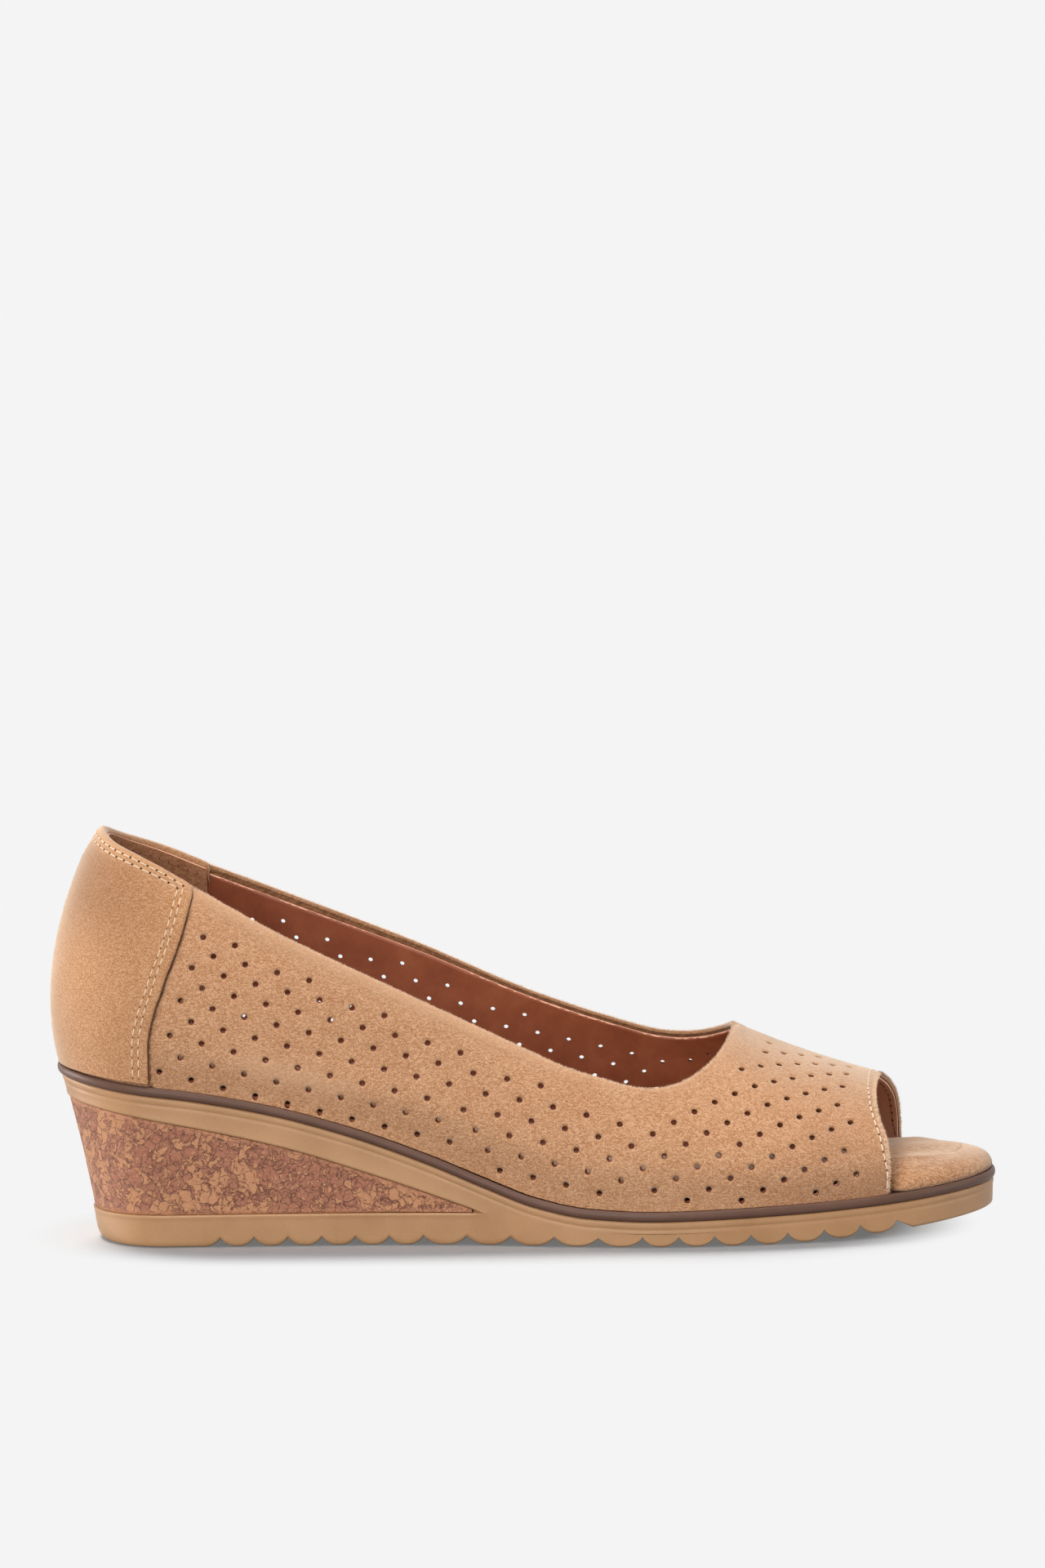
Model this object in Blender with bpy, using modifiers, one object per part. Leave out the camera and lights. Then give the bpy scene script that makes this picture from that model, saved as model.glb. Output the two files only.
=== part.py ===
# Peep-toe wedge shoe for the right foot: a slip-on suede upper on a rubber sole with a cork wedge.
# Sizes are in millimetres, and MM turns them into Blender's metres where a mesh is made.
# X runs from heel to toe, -Y is the lateral (outer) side, +Y the medial (inner) side, Z is up from the floor.

import math
from collections import namedtuple

import bmesh
import bpy
from mathutils import Matrix, Vector

MM = 0.001
GAP = 0.3  # room between two pieces that meet on a curve

# Plan of the welt, which is the shoe's outline from above
LENGTH = 246.0  # counter's back to the toe's tip
HEEL_BACK = 1.4  # the welt's rearmost point, under the counter's bulge
HEEL_AXIS = 32.0  # centre of the heel's round
TIP_Y = 6.0  # the toe's tip lies towards the big toe
SIGN = {"lateral": -1, "medial": 1}
HalfWidth = namedtuple("HalfWidth", "x width")
OUTLINE = {
    "lateral": [
        HalfWidth(HEEL_AXIS, 29.5),
        HalfWidth(75, 30.0),
        HalfWidth(108, 32.3),
        HalfWidth(138, 38.6),
        HalfWidth(163, 42.0),
    ],
    "medial": [
        HalfWidth(HEEL_AXIS, 29.0),
        HalfWidth(72, 26.6),
        HalfWidth(105, 26.2),
        HalfWidth(135, 31.5),
        HalfWidth(160, 38.6),
        HalfWidth(180, 41.0),
    ],
}
TOE_SQUARENESS = {"lateral": 2.05, "medial": 2.25}  # exponent of the toe's round, 2 is an ellipse

# Heights along the shoe
Height = namedtuple("Height", "x z")
WELT_TOP = [
    Height(0, 46.6),
    Height(20, 43.2),
    Height(40, 40.5),
    Height(60, 36.6),
    Height(80, 30.9),
    Height(100, 23.6),
    Height(115, 17.3),
    Height(128, 12.5),
    Height(142, 9.8),
    Height(158, 9.1),
    Height(190, 9.9),
    Height(220, 11.2),
    Height(246, 13.2),
]
CORK_TOP = [
    Height(5, 37.6),
    Height(28, 33.4),
    Height(61, 26.1),
    Height(87, 17.9),
    Height(114.3, 8.3),
]
CORK_BOTTOM = 8.3
CORK_BLUNT = 2.6  # the insert stops this far behind the slot's sharp end
CORK_INSET = 0.4  # the cork's face lies behind the rubber's

# Welt
WELT_THICKNESS = 3.0
Edge = namedtuple("Edge", "inset z")
WELT_EDGE = [Edge(0.9, -3.0), Edge(0.2, -2.5), Edge(0.0, -1.5), Edge(0.2, -0.5), Edge(0.9, 0.0)]

# Outsole
SOLE_INSET = 0.6  # the welt's edge stands this far proud of the sole
SIDE_TAPER = 0.045  # inward lean of the sole's side, for each mm below the welt
SpringCurve = namedtuple("SpringCurve", "start rise power")
TOE_SPRING = SpringCurve(start=190.0, rise=3.8, power=1.5)
HeelTaper = namedtuple("HeelTaper", "z back")  # how far the wedge's back comes forward, by height
HEEL_TAPER = [
    HeelTaper(-2.0, 8.2),
    HeelTaper(0.0, 8.2),
    HeelTaper(0.8, 7.3),
    HeelTaper(3.0, 6.8),
    HeelTaper(11.0, 6.1),
    HeelTaper(24.0, 4.2),
    HeelTaper(34.0, 2.4),
    HeelTaper(43.0, 0.6),
    HeelTaper(50.0, 0.6),
]
Lobes = namedtuple("Lobes", "start pitch count notch")  # notch is the depth between two lobes
TREAD = [Lobes(45.6, 8.8, 6, 2.1), Lobes(98.4, 11.4, 5, 2.2), Lobes(155.4, 9.25, 7, 2.6)]
LOBE_FLAT = 0.2  # share of each lobe that lies flat on the floor
LOBE_ARC_STEPS = 3

# Insole, which fills the upper and spreads to the welt's edge at the open toe
INSOLE_INSET = 4.4
INSOLE_TOE_INSET = 1.3
INSOLE_SPREAD = 5.0  # length over which it spreads
INSOLE_CROWN = 0.8
INSOLE_EDGE = [Edge(0.8, 0.0), Edge(0.1, 1.0), Edge(0.0, 2.8), Edge(0.6, 4.1), Edge(1.9, 4.9)]
INSOLE_COLUMNS = 4  # strips across its top

# Upper
UPPER_INSET = 1.2  # from the welt's edge to the upper's foot
UPPER_BACK_INSET = 1.9  # the same at the heel's back, where the counter lies outside
UPPER_WALL = 1.8  # suede and lining together
Section = namedtuple("Section", "x rise ridge_y lift shoulder bulge_lateral bulge_medial")
# rise is the last's ridge above the welt; the wall leaves the welt at bulge and lift, and reaches the ridge
# from shoulder, a share of the half width. Behind the throat the ridge is the ankle's, above the collar.
LAST_BACK = Section(0, 80, 0, 0.45, 0.28, 9.4, 9.4)
LAST = [
    Section(HEEL_AXIS, 85.0, 0.0, 0.50, 0.55, 4.0, 4.0),
    Section(60, 84.0, 0.0, 0.50, 0.58, 3.5, 4.5),
    Section(90, 77.0, 1.0, 0.50, 0.60, 3.0, 7.0),
    Section(120, 68.5, 2.0, 0.50, 0.61, 3.0, 8.0),
    Section(150, 56.0, 3.0, 0.52, 0.62, 3.0, 5.0),
    Section(179, 42.5, 4.0, 0.55, 0.63, 2.5, 3.0),
    Section(192, 36.6, 4.5, 0.56, 0.64, 2.5, 2.7),
    Section(209, 30.1, 5.2, 0.57, 0.65, 2.3, 2.3),
    Section(224, 24.6, 6.0, 0.58, 0.66, 2.0, 2.0),
]
Topline = namedtuple("Topline", "x lateral medial")
TOPLINE = [
    Topline(0, 107.2, 107.2),
    Topline(8, 106.2, 106.3),
    Topline(23, 101.8, 102.2),
    Topline(40, 93.6, 95.0),
    Topline(61, 81.8, 86.7),
    Topline(97, 64.1, 72.1),
    Topline(123, 51.5, 60.2),
    Topline(137, 44.8, 54.8),
    Topline(150, 40.9, 50.3),
]
THROAT_START = 150.0  # from here the collar turns across the foot
THROAT_FRONT = 178.8  # where it crosses the ridge
THROAT_SQUARENESS = 2.6
TOE_RIDGE = 216.0  # the peep toe's edge on the ridge
TOE_CORNER = {"lateral": 218.4, "medial": 221.6}  # the same edge at the welt
TOE_EDGE_SWEEP = {"lateral": 1.15, "medial": 4.0}  # how far up the arch it keeps the corner's x

# Heel counter, an overlay on the upper
COUNTER_WALL = 1.1
COUNTER_FOOT = 0.008  # its lower edge on the last's wall, clear of the welt
COUNTER_FRONT_FOOT = 29.8
COUNTER_FRONT_TOP = 40.5
COUNTER_SWEEP = 1.6  # its front edge leans forward towards the top

# Mesh fineness
HEEL_STEPS = 10
WAIST_STEPS = 14
TOE_STEPS = 12
PROFILE_STEP = 7.0
CUTTER_REACH = 60.0  # half width of a block that is cut to the plan
CUTTER_OVERRUN = 5.0
UPPER_ROWS = 12
QUARTER_STEPS = 11
QUARTER_END = 130.0
TOPLINE_STEPS = 4
THROAT_STEPS = 13
TOE_ARCH_STEPS = 7
COUNTER_ROWS = 9
COUNTER_STEPS = 12

COLOURS = {  # base colour, roughness
    "outsole": ((0.46, 0.24, 0.12), 0.55),
    "cork_wedge": ((0.37, 0.16, 0.09), 0.75),
    "welt": ((0.16, 0.09, 0.065), 0.45),
    "insole": ((0.62, 0.38, 0.24), 0.85),
    "upper": ((0.56, 0.30, 0.16), 0.9),
    "heel_counter": ((0.58, 0.32, 0.17), 0.85),
}


class Curve:
    """A smooth line through one column of a table, which never overshoots its rows."""

    def __init__(self, rows, column, flat_ends=False):
        self.x = [row.x for row in rows]
        self.y = [getattr(row, column) for row in rows]
        pairs = range(len(rows) - 1)
        rises = [(self.y[i + 1] - self.y[i]) / (self.x[i + 1] - self.x[i]) for i in pairs]
        inner = [
            2 * a * b / (a + b) if a * b > 0 else 0.0
            for a, b in zip(rises, rises[1:])
        ]
        ends = (0.0, 0.0) if flat_ends else (rises[0], rises[-1])
        self.slope = [ends[0], *inner, ends[1]]

    def __call__(self, x):
        if x <= self.x[0]:
            return self.y[0] + self.slope[0] * (x - self.x[0])
        if x >= self.x[-1]:
            return self.y[-1] + self.slope[-1] * (x - self.x[-1])
        i = max(k for k in range(len(self.x) - 1) if self.x[k] <= x)
        width = self.x[i + 1] - self.x[i]
        u = (x - self.x[i]) / width
        start = (1 + 2 * u) * (1 - u) ** 2 * self.y[i] + u * (1 - u) ** 2 * width * self.slope[i]
        end = u * u * (3 - 2 * u) * self.y[i + 1] + u * u * (u - 1) * width * self.slope[i + 1]
        return start + end


half_width = {side: Curve(rows, "width", flat_ends=True) for side, rows in OUTLINE.items()}
welt_top = Curve(WELT_TOP, "z")
cork_top = Curve(CORK_TOP, "z")
topline = {side: Curve(TOPLINE, side) for side in SIGN}
last_column = {name: Curve(LAST, name) for name in Section._fields[1:]}


def steps(start, end, count):
    return [start + (end - start) * i / count for i in range(count + 1)]


def side_y(x, side, inset):
    """The outline's y at x, ahead of the heel's round, set in from the welt's edge."""
    ball = OUTLINE[side][-1]
    sign = SIGN[side]
    if x <= ball.x:
        return sign * (half_width[side](x) - inset)
    share = min(1.0, (x - ball.x) / (LENGTH - inset - ball.x))
    power = TOE_SQUARENESS[side]
    reach = ball.width - inset - sign * TIP_Y
    return TIP_Y + sign * reach * (1 - share ** power) ** (1 / power)


def heel_point(angle, side, inset, back):
    """A point on the heel's round, from angle 0 at its back to a right angle at its side."""
    length = HEEL_AXIS - HEEL_BACK - inset - back
    width = half_width[side](HEEL_AXIS) - inset
    return HEEL_AXIS - length * math.cos(angle), SIGN[side] * width * math.sin(angle)


def plan_stations():
    """Places round the outline that both sides share: heel angles, then shares of the way to the tip."""
    heel = [("heel", angle) for angle in steps(0, math.pi / 2, HEEL_STEPS)[:-1]]
    waist_end = OUTLINE["medial"][-1].x
    waist = [("x", x) for x in steps(HEEL_AXIS, waist_end, WAIST_STEPS)[:-1]]
    toe = [("toe", math.sin(angle)) for angle in steps(0, math.pi / 2, TOE_STEPS)]
    return heel + waist + toe


def plan_point(station, side, inset, back=0.0):
    kind, value = station
    if kind == "heel":
        return heel_point(value, side, inset, back)
    waist_end = OUTLINE["medial"][-1].x
    x = value if kind == "x" else waist_end + (LENGTH - inset - waist_end) * value
    return x, side_y(x, side, inset)


def toe_spring(x):
    share = max(0.0, (x - TOE_SPRING.start) / (LENGTH - TOE_SPRING.start))
    return TOE_SPRING.rise * share ** TOE_SPRING.power


def sole_top(x):
    return welt_top(x) - WELT_THICKNESS - GAP


def material_for(name):
    colour, roughness = COLOURS[name]
    material = bpy.data.materials.new(name)
    material.use_nodes = True
    shader = material.node_tree.nodes["Principled BSDF"]
    shader.inputs["Base Color"].default_value = (*colour, 1.0)
    shader.inputs["Roughness"].default_value = roughness
    return material


def add_object(name, mesh, collection, frame):
    thing = bpy.data.objects.new(name, mesh)
    collection.objects.link(thing)
    thing.parent = frame
    return thing


def loft(name, rows, closed):
    """A mesh of quads between rows of points; closed joins each row's end to its start."""
    shape = bmesh.new()
    grid = [[shape.verts.new(Vector(point) * MM) for point in row] for row in rows]
    for row, following in zip(grid, grid[1:]):
        count = len(row) if closed else len(row) - 1
        for i in range(count):
            j = (i + 1) % len(row)
            shape.faces.new((row[i], row[j], following[j], following[i]))
    bmesh.ops.remove_doubles(shape, verts=shape.verts, dist=0.02 * MM)
    bmesh.ops.recalc_face_normals(shape, faces=shape.faces)
    mesh = bpy.data.meshes.new(name)
    shape.to_mesh(mesh)
    shape.free()
    mesh.shade_smooth()
    mesh.set_sharp_from_angle(angle=math.radians(40))
    return mesh


def extruded_profile(name, points):
    """A side profile, drawn in x and z, carried right across the shoe."""
    curve = bpy.data.curves.new(name, "CURVE")
    curve.dimensions = "2D"
    curve.fill_mode = "BOTH"
    curve.extrude = CUTTER_REACH * MM
    spline = curve.splines.new("POLY")
    spline.points.add(len(points) - 1)
    for point, (x, z) in zip(spline.points, points):
        point.co = (x * MM, z * MM, 0, 1)
    spline.use_cyclic_u = True
    drawn = bpy.data.objects.new(name, curve)
    bpy.context.scene.collection.objects.link(drawn)
    graph = bpy.context.evaluated_depsgraph_get()
    mesh = bpy.data.meshes.new_from_object(drawn.evaluated_get(graph))
    bpy.data.objects.remove(drawn)
    mesh.transform(Matrix.Rotation(math.pi / 2, 4, "X"))
    shape = bmesh.new()
    shape.from_mesh(mesh)
    bmesh.ops.remove_doubles(shape, verts=shape.verts, dist=0.001 * MM)
    bmesh.ops.recalc_face_normals(shape, faces=shape.faces)
    shape.to_mesh(mesh)
    shape.free()
    return mesh


def plan_block(name, extra_inset):
    """The sole's plan as a block, leaning in towards the floor, that cuts a profile to the outline."""
    shape = bmesh.new()
    rings = []
    stations = plan_stations()
    for level in HEEL_TAPER:
        sides = {}
        for side in SIGN:
            points = []
            for station in stations:
                x = plan_point(station, side, 0.0)[0]
                depth = max(0.0, sole_top(x) - level.z)
                inset = SOLE_INSET + SIDE_TAPER * depth + extra_inset
                points.append((*plan_point(station, side, inset, level.back), level.z))
            sides[side] = points
        outline = sides["lateral"] + sides["medial"][-2:0:-1]
        rings.append([shape.verts.new(Vector(point) * MM) for point in outline])
    for ring, above in zip(rings, rings[1:]):
        for i in range(len(ring)):
            j = (i + 1) % len(ring)
            shape.faces.new((ring[i], ring[j], above[j], above[i]))
    shape.faces.new(rings[0])
    shape.faces.new(rings[-1])
    bmesh.ops.recalc_face_normals(shape, faces=shape.faces)
    mesh = bpy.data.meshes.new(name)
    shape.to_mesh(mesh)
    shape.free()
    return mesh


def lobe_arc(group):
    """Half of a lobe's outline, outwards from its middle: the end of its flat, then round to the notch."""
    flat = group.pitch / 2 * LOBE_FLAT
    width = group.pitch / 2 - flat
    radius = (width ** 2 + group.notch ** 2) / (2 * group.notch)
    return [
        (flat + radius * math.sin(angle), radius * (1 - math.cos(angle)))
        for angle in steps(0, math.asin(width / radius), LOBE_ARC_STEPS)
    ]


def tread_line():
    """The sole's underside from the heel pad to the tip, with its scalloped lobes."""
    first = TREAD[0]
    points = [(-CUTTER_OVERRUN, 0.0)]
    # the heel pad is flat and ends like a lobe at the first notch
    points += [(first.start - first.pitch / 2 + out, up) for out, up in lobe_arc(first)[:-1]]
    for group in TREAD:
        arc = lobe_arc(group)
        for k in range(group.count):
            middle = group.start + (k + 0.5) * group.pitch
            floor = toe_spring(middle)
            points += [(middle - out, floor + up) for out, up in reversed(arc)]
            points += [(middle + out, floor + up) for out, up in arc[:-1]]
    last = TREAD[-1]
    end = last.start + last.pitch * last.count
    points.append((end, toe_spring(end) + last.notch))
    toe_start = end + 0.5 * (1 - LOBE_FLAT) * last.pitch
    points += [(x, toe_spring(x)) for x in steps(toe_start, LENGTH + CUTTER_OVERRUN, 4)]
    return points


def along(start, end):
    return steps(start, end, max(1, round(abs(end - start) / PROFILE_STEP)))


def outsole_profile():
    top = [(x, sole_top(x)) for x in along(LENGTH + CUTTER_OVERRUN, -CUTTER_OVERRUN)]
    tip = CORK_TOP[-1].x
    slot = [(x, cork_top(x)) for x in along(-CUTTER_OVERRUN, tip)]
    return tread_line() + top + slot + [(-CUTTER_OVERRUN, CORK_BOTTOM)]


def cork_profile():
    tip = CORK_TOP[-1].x - CORK_BLUNT
    top = [(x, cork_top(x) - GAP) for x in along(tip, -CUTTER_OVERRUN)]
    foot = CORK_BOTTOM + GAP
    return [(-CUTTER_OVERRUN, foot), (tip, foot)] + top


def cut_to_plan(thing, cutter):
    cut = thing.modifiers.new("cut to the plan", "BOOLEAN")
    cut.operation = "INTERSECT"
    cut.solver = "EXACT"
    cut.object = cutter


def make_sole_piece(name, profile, extra_inset, parts, cutters, frame):
    thing = add_object(name, extruded_profile(name, profile), parts, frame)
    cutter = add_object(name + "_plan", plan_block(name + "_plan", extra_inset), cutters, frame)
    cutter.hide_render = True
    cutter.display_type = "WIRE"
    cut_to_plan(thing, cutter)
    return thing


def layer_section(station, edge, insets, base, crown, columns):
    """One closed cross section of a thin layer: up its lateral edge, over its top, down its medial edge."""
    flanks = {}
    for side in SIGN:
        points = []
        for row in edge:
            x, y = plan_point(station, side, insets[side] + row.inset)
            points.append((x, y, welt_top(x) + base + row.z))
        flanks[side] = points
    left, right = flanks["lateral"][-1], flanks["medial"][-1]
    ball = OUTLINE["lateral"][-1].width
    top = []
    for k in range(1, columns):
        share = k / columns
        x, y, z = (a + (b - a) * share for a, b in zip(left, right))
        dome = crown * 4 * share * (1 - share) * min(1.0, abs(right[1] - left[1]) / ball)
        top.append((x, y, z + dome))
    return flanks["lateral"] + top + flanks["medial"][::-1]


def make_welt(parts, frame):
    flat = {side: 0.0 for side in SIGN}
    rows = [layer_section(station, WELT_EDGE, flat, 0.0, 0.0, 1) for station in plan_stations()]
    return add_object("welt", loft("welt", rows, closed=True), parts, frame)


def insole_inset(x, side):
    """Inside the upper's wall, then out to the welt's edge ahead of the open toe."""
    start = TOE_CORNER[side] + 2 * GAP
    share = min(1.0, max(0.0, (x - start) / INSOLE_SPREAD))
    ease = share * share * (3 - 2 * share)
    return INSOLE_INSET + (INSOLE_TOE_INSET - INSOLE_INSET) * ease


def make_insole(parts, frame):
    waist_end = OUTLINE["medial"][-1].x
    stations = []
    for kind, value in plan_stations():
        stations.append((kind, value))
        if kind == "toe" and value < 1:
            # a station between each two at the toe, where the insole spreads
            halfway = math.sin(math.asin(value) + math.pi / 4 / TOE_STEPS)
            stations.append((kind, halfway))
    rows = []
    for station in stations:
        kind, value = station
        x = waist_end + (LENGTH - waist_end) * value if kind == "toe" else 0.0
        insets = {side: insole_inset(x, side) for side in SIGN}
        rows.append(layer_section(station, INSOLE_EDGE, insets, GAP, INSOLE_CROWN, INSOLE_COLUMNS))
    return add_object("insole", loft("insole", rows, closed=True), parts, frame)


def last_shape(s, side):
    """The last's rise, lift, shoulder and bulge at a station, blended round the heel's back."""
    names = ("rise", "lift", "shoulder", "bulge_" + side)
    values = [last_column[name](max(s, HEEL_AXIS)) for name in names]
    if s < HEEL_AXIS:
        share = math.sin(math.pi / 2 * s / HEEL_AXIS) ** 2
        back = [getattr(LAST_BACK, name) for name in names]
        values = [b + (v - b) * share for b, v in zip(back, values)]
    return values


def last_foot(s, side):
    """Where the wall leaves the welt, and the upright that its sections lean towards.

    Up to HEEL_AXIS a station s is an angle round the heel; from there on it is x itself.
    """
    if s < HEEL_AXIS:
        angle = math.pi / 2 * s / HEEL_AXIS
        inset = UPPER_BACK_INSET + (UPPER_INSET - UPPER_BACK_INSET) * math.sin(angle)
        x, y = heel_point(angle, side, inset, 0.0)
        spine = (HEEL_AXIS, last_column["ridge_y"](HEEL_AXIS))
    else:
        x, y = s, side_y(s, side, UPPER_INSET)
        spine = (s, last_column["ridge_y"](s))
    return Vector((x, y, welt_top(x) + GAP)), Vector((*spine, welt_top(x) + GAP))


def last_rise(s, t, side):
    rise, lift, _, _ = last_shape(s, side)
    return rise * (3 * (1 - t) ** 2 * t * lift + 3 * (1 - t) * t * t + t ** 3)


def last_point(s, t, side):
    """A point on the outside of the upper: t runs from 0 at the welt to 1 at the ridge."""
    rise, lift, shoulder, bulge = last_shape(s, side)
    foot, spine = last_foot(s, side)
    span = (foot - spine).length
    out = (1 - t) ** 3 * span + 3 * (1 - t) ** 2 * t * (span + bulge) + 3 * (1 - t) * t * t * shoulder * span
    point = spine + (foot - spine) * (out / span)
    point.z += last_rise(s, t, side)
    return point


def last_normal(s, t, side):
    """The outward direction there."""
    step = 0.01
    along_shoe = last_point(s + step, t, side) - last_point(max(0.0, s - step), t, side)
    up_wall = last_point(s, min(1.0, t + step), side) - last_point(s, max(0.0, t - step), side)
    return (along_shoe.cross(up_wall) * -SIGN[side]).normalized()


def topline_t(s, side):
    """The wall's parameter where it reaches the collar's height."""
    foot, _ = last_foot(s, side)
    target = topline[side](s) - foot.z
    low, high = 0.0, 1.0
    for _ in range(40):
        middle = (low + high) / 2
        if last_rise(s, middle, side) < target:
            low = middle
        else:
            high = middle
    return low


def quarter_stations():
    heel = steps(0, HEEL_AXIS, HEEL_STEPS)
    return heel + steps(HEEL_AXIS, QUARTER_END, QUARTER_STEPS)[1:]


def collar_line(side):
    """The collar in the last's own coordinates, from the heel's back to the ridge at the throat."""
    line = [(s, topline_t(s, side)) for s in quarter_stations()]
    line += [(s, topline_t(s, side)) for s in steps(QUARTER_END, THROAT_START, TOPLINE_STEPS)[1:]]
    low = line[-1][1]
    power = 2 / THROAT_SQUARENESS
    for angle in steps(0, math.pi / 2, THROAT_STEPS)[1:]:
        s = THROAT_START + (THROAT_FRONT - THROAT_START) * math.sin(angle) ** power
        t = 1 - (1 - low) * max(0.0, math.cos(angle)) ** power
        line.append((s, t))
    return line


def toe_edge(t, side):
    return TOE_RIDGE + (TOE_CORNER[side] - TOE_RIDGE) * (1 - t ** TOE_EDGE_SWEEP[side]) ** 2


def hem_line(side):
    """The upper's lower edge along the welt, then the peep toe's edge up to the ridge."""
    line = [(s, 0.0) for s in quarter_stations()]
    welt_steps = TOPLINE_STEPS + THROAT_STEPS - TOE_ARCH_STEPS
    line += [(s, 0.0) for s in steps(QUARTER_END, TOE_CORNER[side], welt_steps)[1:]]
    line += [(toe_edge(t, side), t) for t in steps(0, 1, TOE_ARCH_STEPS)[1:]]
    return line


def make_upper(parts, frame):
    lines = {side: list(zip(hem_line(side), collar_line(side))) for side in SIGN}
    rows = []
    for share in steps(0, 1, UPPER_ROWS):
        halves = {}
        for side, pairs in lines.items():
            halves[side] = [
                last_point(hem[0] + (top[0] - hem[0]) * share, hem[1] + (top[1] - hem[1]) * share, side)
                for hem, top in pairs
            ]
        rows.append(halves["lateral"] + halves["medial"][-2:0:-1])
    upper = add_object("upper", loft("upper", rows, closed=True), parts, frame)
    wall = upper.modifiers.new("suede and lining", "SOLIDIFY")
    wall.thickness = UPPER_WALL * MM
    wall.offset = -1
    wall.use_even_offset = True
    return upper


def counter_front(share):
    return COUNTER_FRONT_FOOT + (COUNTER_FRONT_TOP - COUNTER_FRONT_FOOT) * share ** COUNTER_SWEEP


def make_heel_counter(parts, frame):
    """A skin a little outside the upper, from its own surface, thickened outwards."""
    rows = []
    for share in steps(0, 1, COUNTER_ROWS):
        halves = {}
        for side in SIGN:
            points = []
            for s in steps(0, counter_front(share), COUNTER_STEPS):
                t = COUNTER_FOOT + (topline_t(s, side) - COUNTER_FOOT) * share
                points.append(last_point(s, t, side) + last_normal(s, t, side) * GAP)
            halves[side] = points
        rows.append(halves["lateral"][::-1] + halves["medial"][1:])
    counter = add_object("heel_counter", loft("heel_counter", rows, closed=False), parts, frame)
    wall = counter.modifiers.new("counter leather", "SOLIDIFY")
    wall.thickness = COUNTER_WALL * MM
    wall.offset = 1
    wall.use_even_offset = True
    return counter


def centre_on_floor(frame, pieces):
    """Moves the frame so that the shoe's box is centred over the origin, standing on the floor."""
    graph = bpy.context.evaluated_depsgraph_get()
    corners = []
    for piece in pieces:
        mesh = piece.evaluated_get(graph).to_mesh()
        corners += [vertex.co.copy() for vertex in mesh.vertices]
    lows = [min(corner[axis] for corner in corners) for axis in range(3)]
    highs = [max(corner[axis] for corner in corners) for axis in range(3)]
    frame.location = (-(lows[0] + highs[0]) / 2, -(lows[1] + highs[1]) / 2, -lows[2])


def main():
    for thing in list(bpy.data.objects):
        bpy.data.objects.remove(thing)
    parts = bpy.data.collections.new("peep_toe_wedge_shoe")
    cutters = bpy.data.collections.new("cutters")
    for collection in (parts, cutters):
        bpy.context.scene.collection.children.link(collection)
    frame = bpy.data.objects.new("shoe_frame", None)
    parts.objects.link(frame)

    pieces = [
        make_sole_piece("outsole", outsole_profile(), 0.0, parts, cutters, frame),
        make_sole_piece("cork_wedge", cork_profile(), CORK_INSET, parts, cutters, frame),
        make_welt(parts, frame),
        make_insole(parts, frame),
        make_upper(parts, frame),
        make_heel_counter(parts, frame),
    ]
    for piece in pieces:
        piece.data.materials.clear()
        piece.data.materials.append(material_for(piece.name))
    centre_on_floor(frame, pieces)


main()
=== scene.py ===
# Peep-toe wedge shoe, right foot: suede upper, cork wedge and rubber sole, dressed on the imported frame.
# Sizes are millimetres in the shoe's own frame: x from the heel's back to the toe, -y lateral, z up.
import math

import bpy
import numpy as np
from mathutils import Matrix, Vector, noise
from mathutils.geometry import delaunay_2d_cdt


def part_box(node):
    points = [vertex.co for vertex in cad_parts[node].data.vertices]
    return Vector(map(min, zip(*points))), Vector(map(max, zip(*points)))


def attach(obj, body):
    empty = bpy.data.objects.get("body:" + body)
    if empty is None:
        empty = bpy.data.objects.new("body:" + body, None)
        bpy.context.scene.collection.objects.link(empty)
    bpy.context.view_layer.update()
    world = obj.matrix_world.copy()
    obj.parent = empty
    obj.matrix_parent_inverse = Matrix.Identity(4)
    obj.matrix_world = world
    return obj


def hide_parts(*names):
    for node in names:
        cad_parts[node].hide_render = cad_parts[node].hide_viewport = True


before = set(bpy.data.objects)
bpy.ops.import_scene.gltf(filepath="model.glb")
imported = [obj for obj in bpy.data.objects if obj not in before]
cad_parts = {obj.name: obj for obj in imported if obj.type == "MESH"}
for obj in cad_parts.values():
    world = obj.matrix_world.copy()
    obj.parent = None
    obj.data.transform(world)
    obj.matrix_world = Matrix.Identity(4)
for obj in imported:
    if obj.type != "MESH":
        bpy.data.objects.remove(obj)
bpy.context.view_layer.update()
mm = 0.001
sides = {"lateral": -1, "medial": 1}
print("frame loaded:", len(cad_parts), "nodes")

# The shoe's plan, heights and last are the solids' own, its collar and toe lines within 1 mm of theirs
shoe = dict(
    length=246.0,
    heelBack=1.4,
    heelAxis=32.0,  # centre of the heel's round
    heelArc=46.0,  # length of the wall from the heel's back to there
    tipY=6.0,
    gap=0.3,
    outline=dict(
        lateral=[(32, 29.5), (75, 30.0), (108, 32.3), (138, 38.6), (163, 42.0)],
        medial=[(32, 29.0), (72, 26.6), (105, 26.2), (135, 31.5), (160, 38.6), (180, 41.0)],
    ),
    toeSquareness=dict(lateral=2.05, medial=2.25),
    weltTop=[
        (0, 46.6), (20, 43.2), (40, 40.5), (60, 36.6), (80, 30.9), (100, 23.6), (115, 17.3),
        (128, 12.5), (142, 9.8), (158, 9.1), (190, 9.9), (220, 11.2), (246, 13.2),
    ],
)
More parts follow.
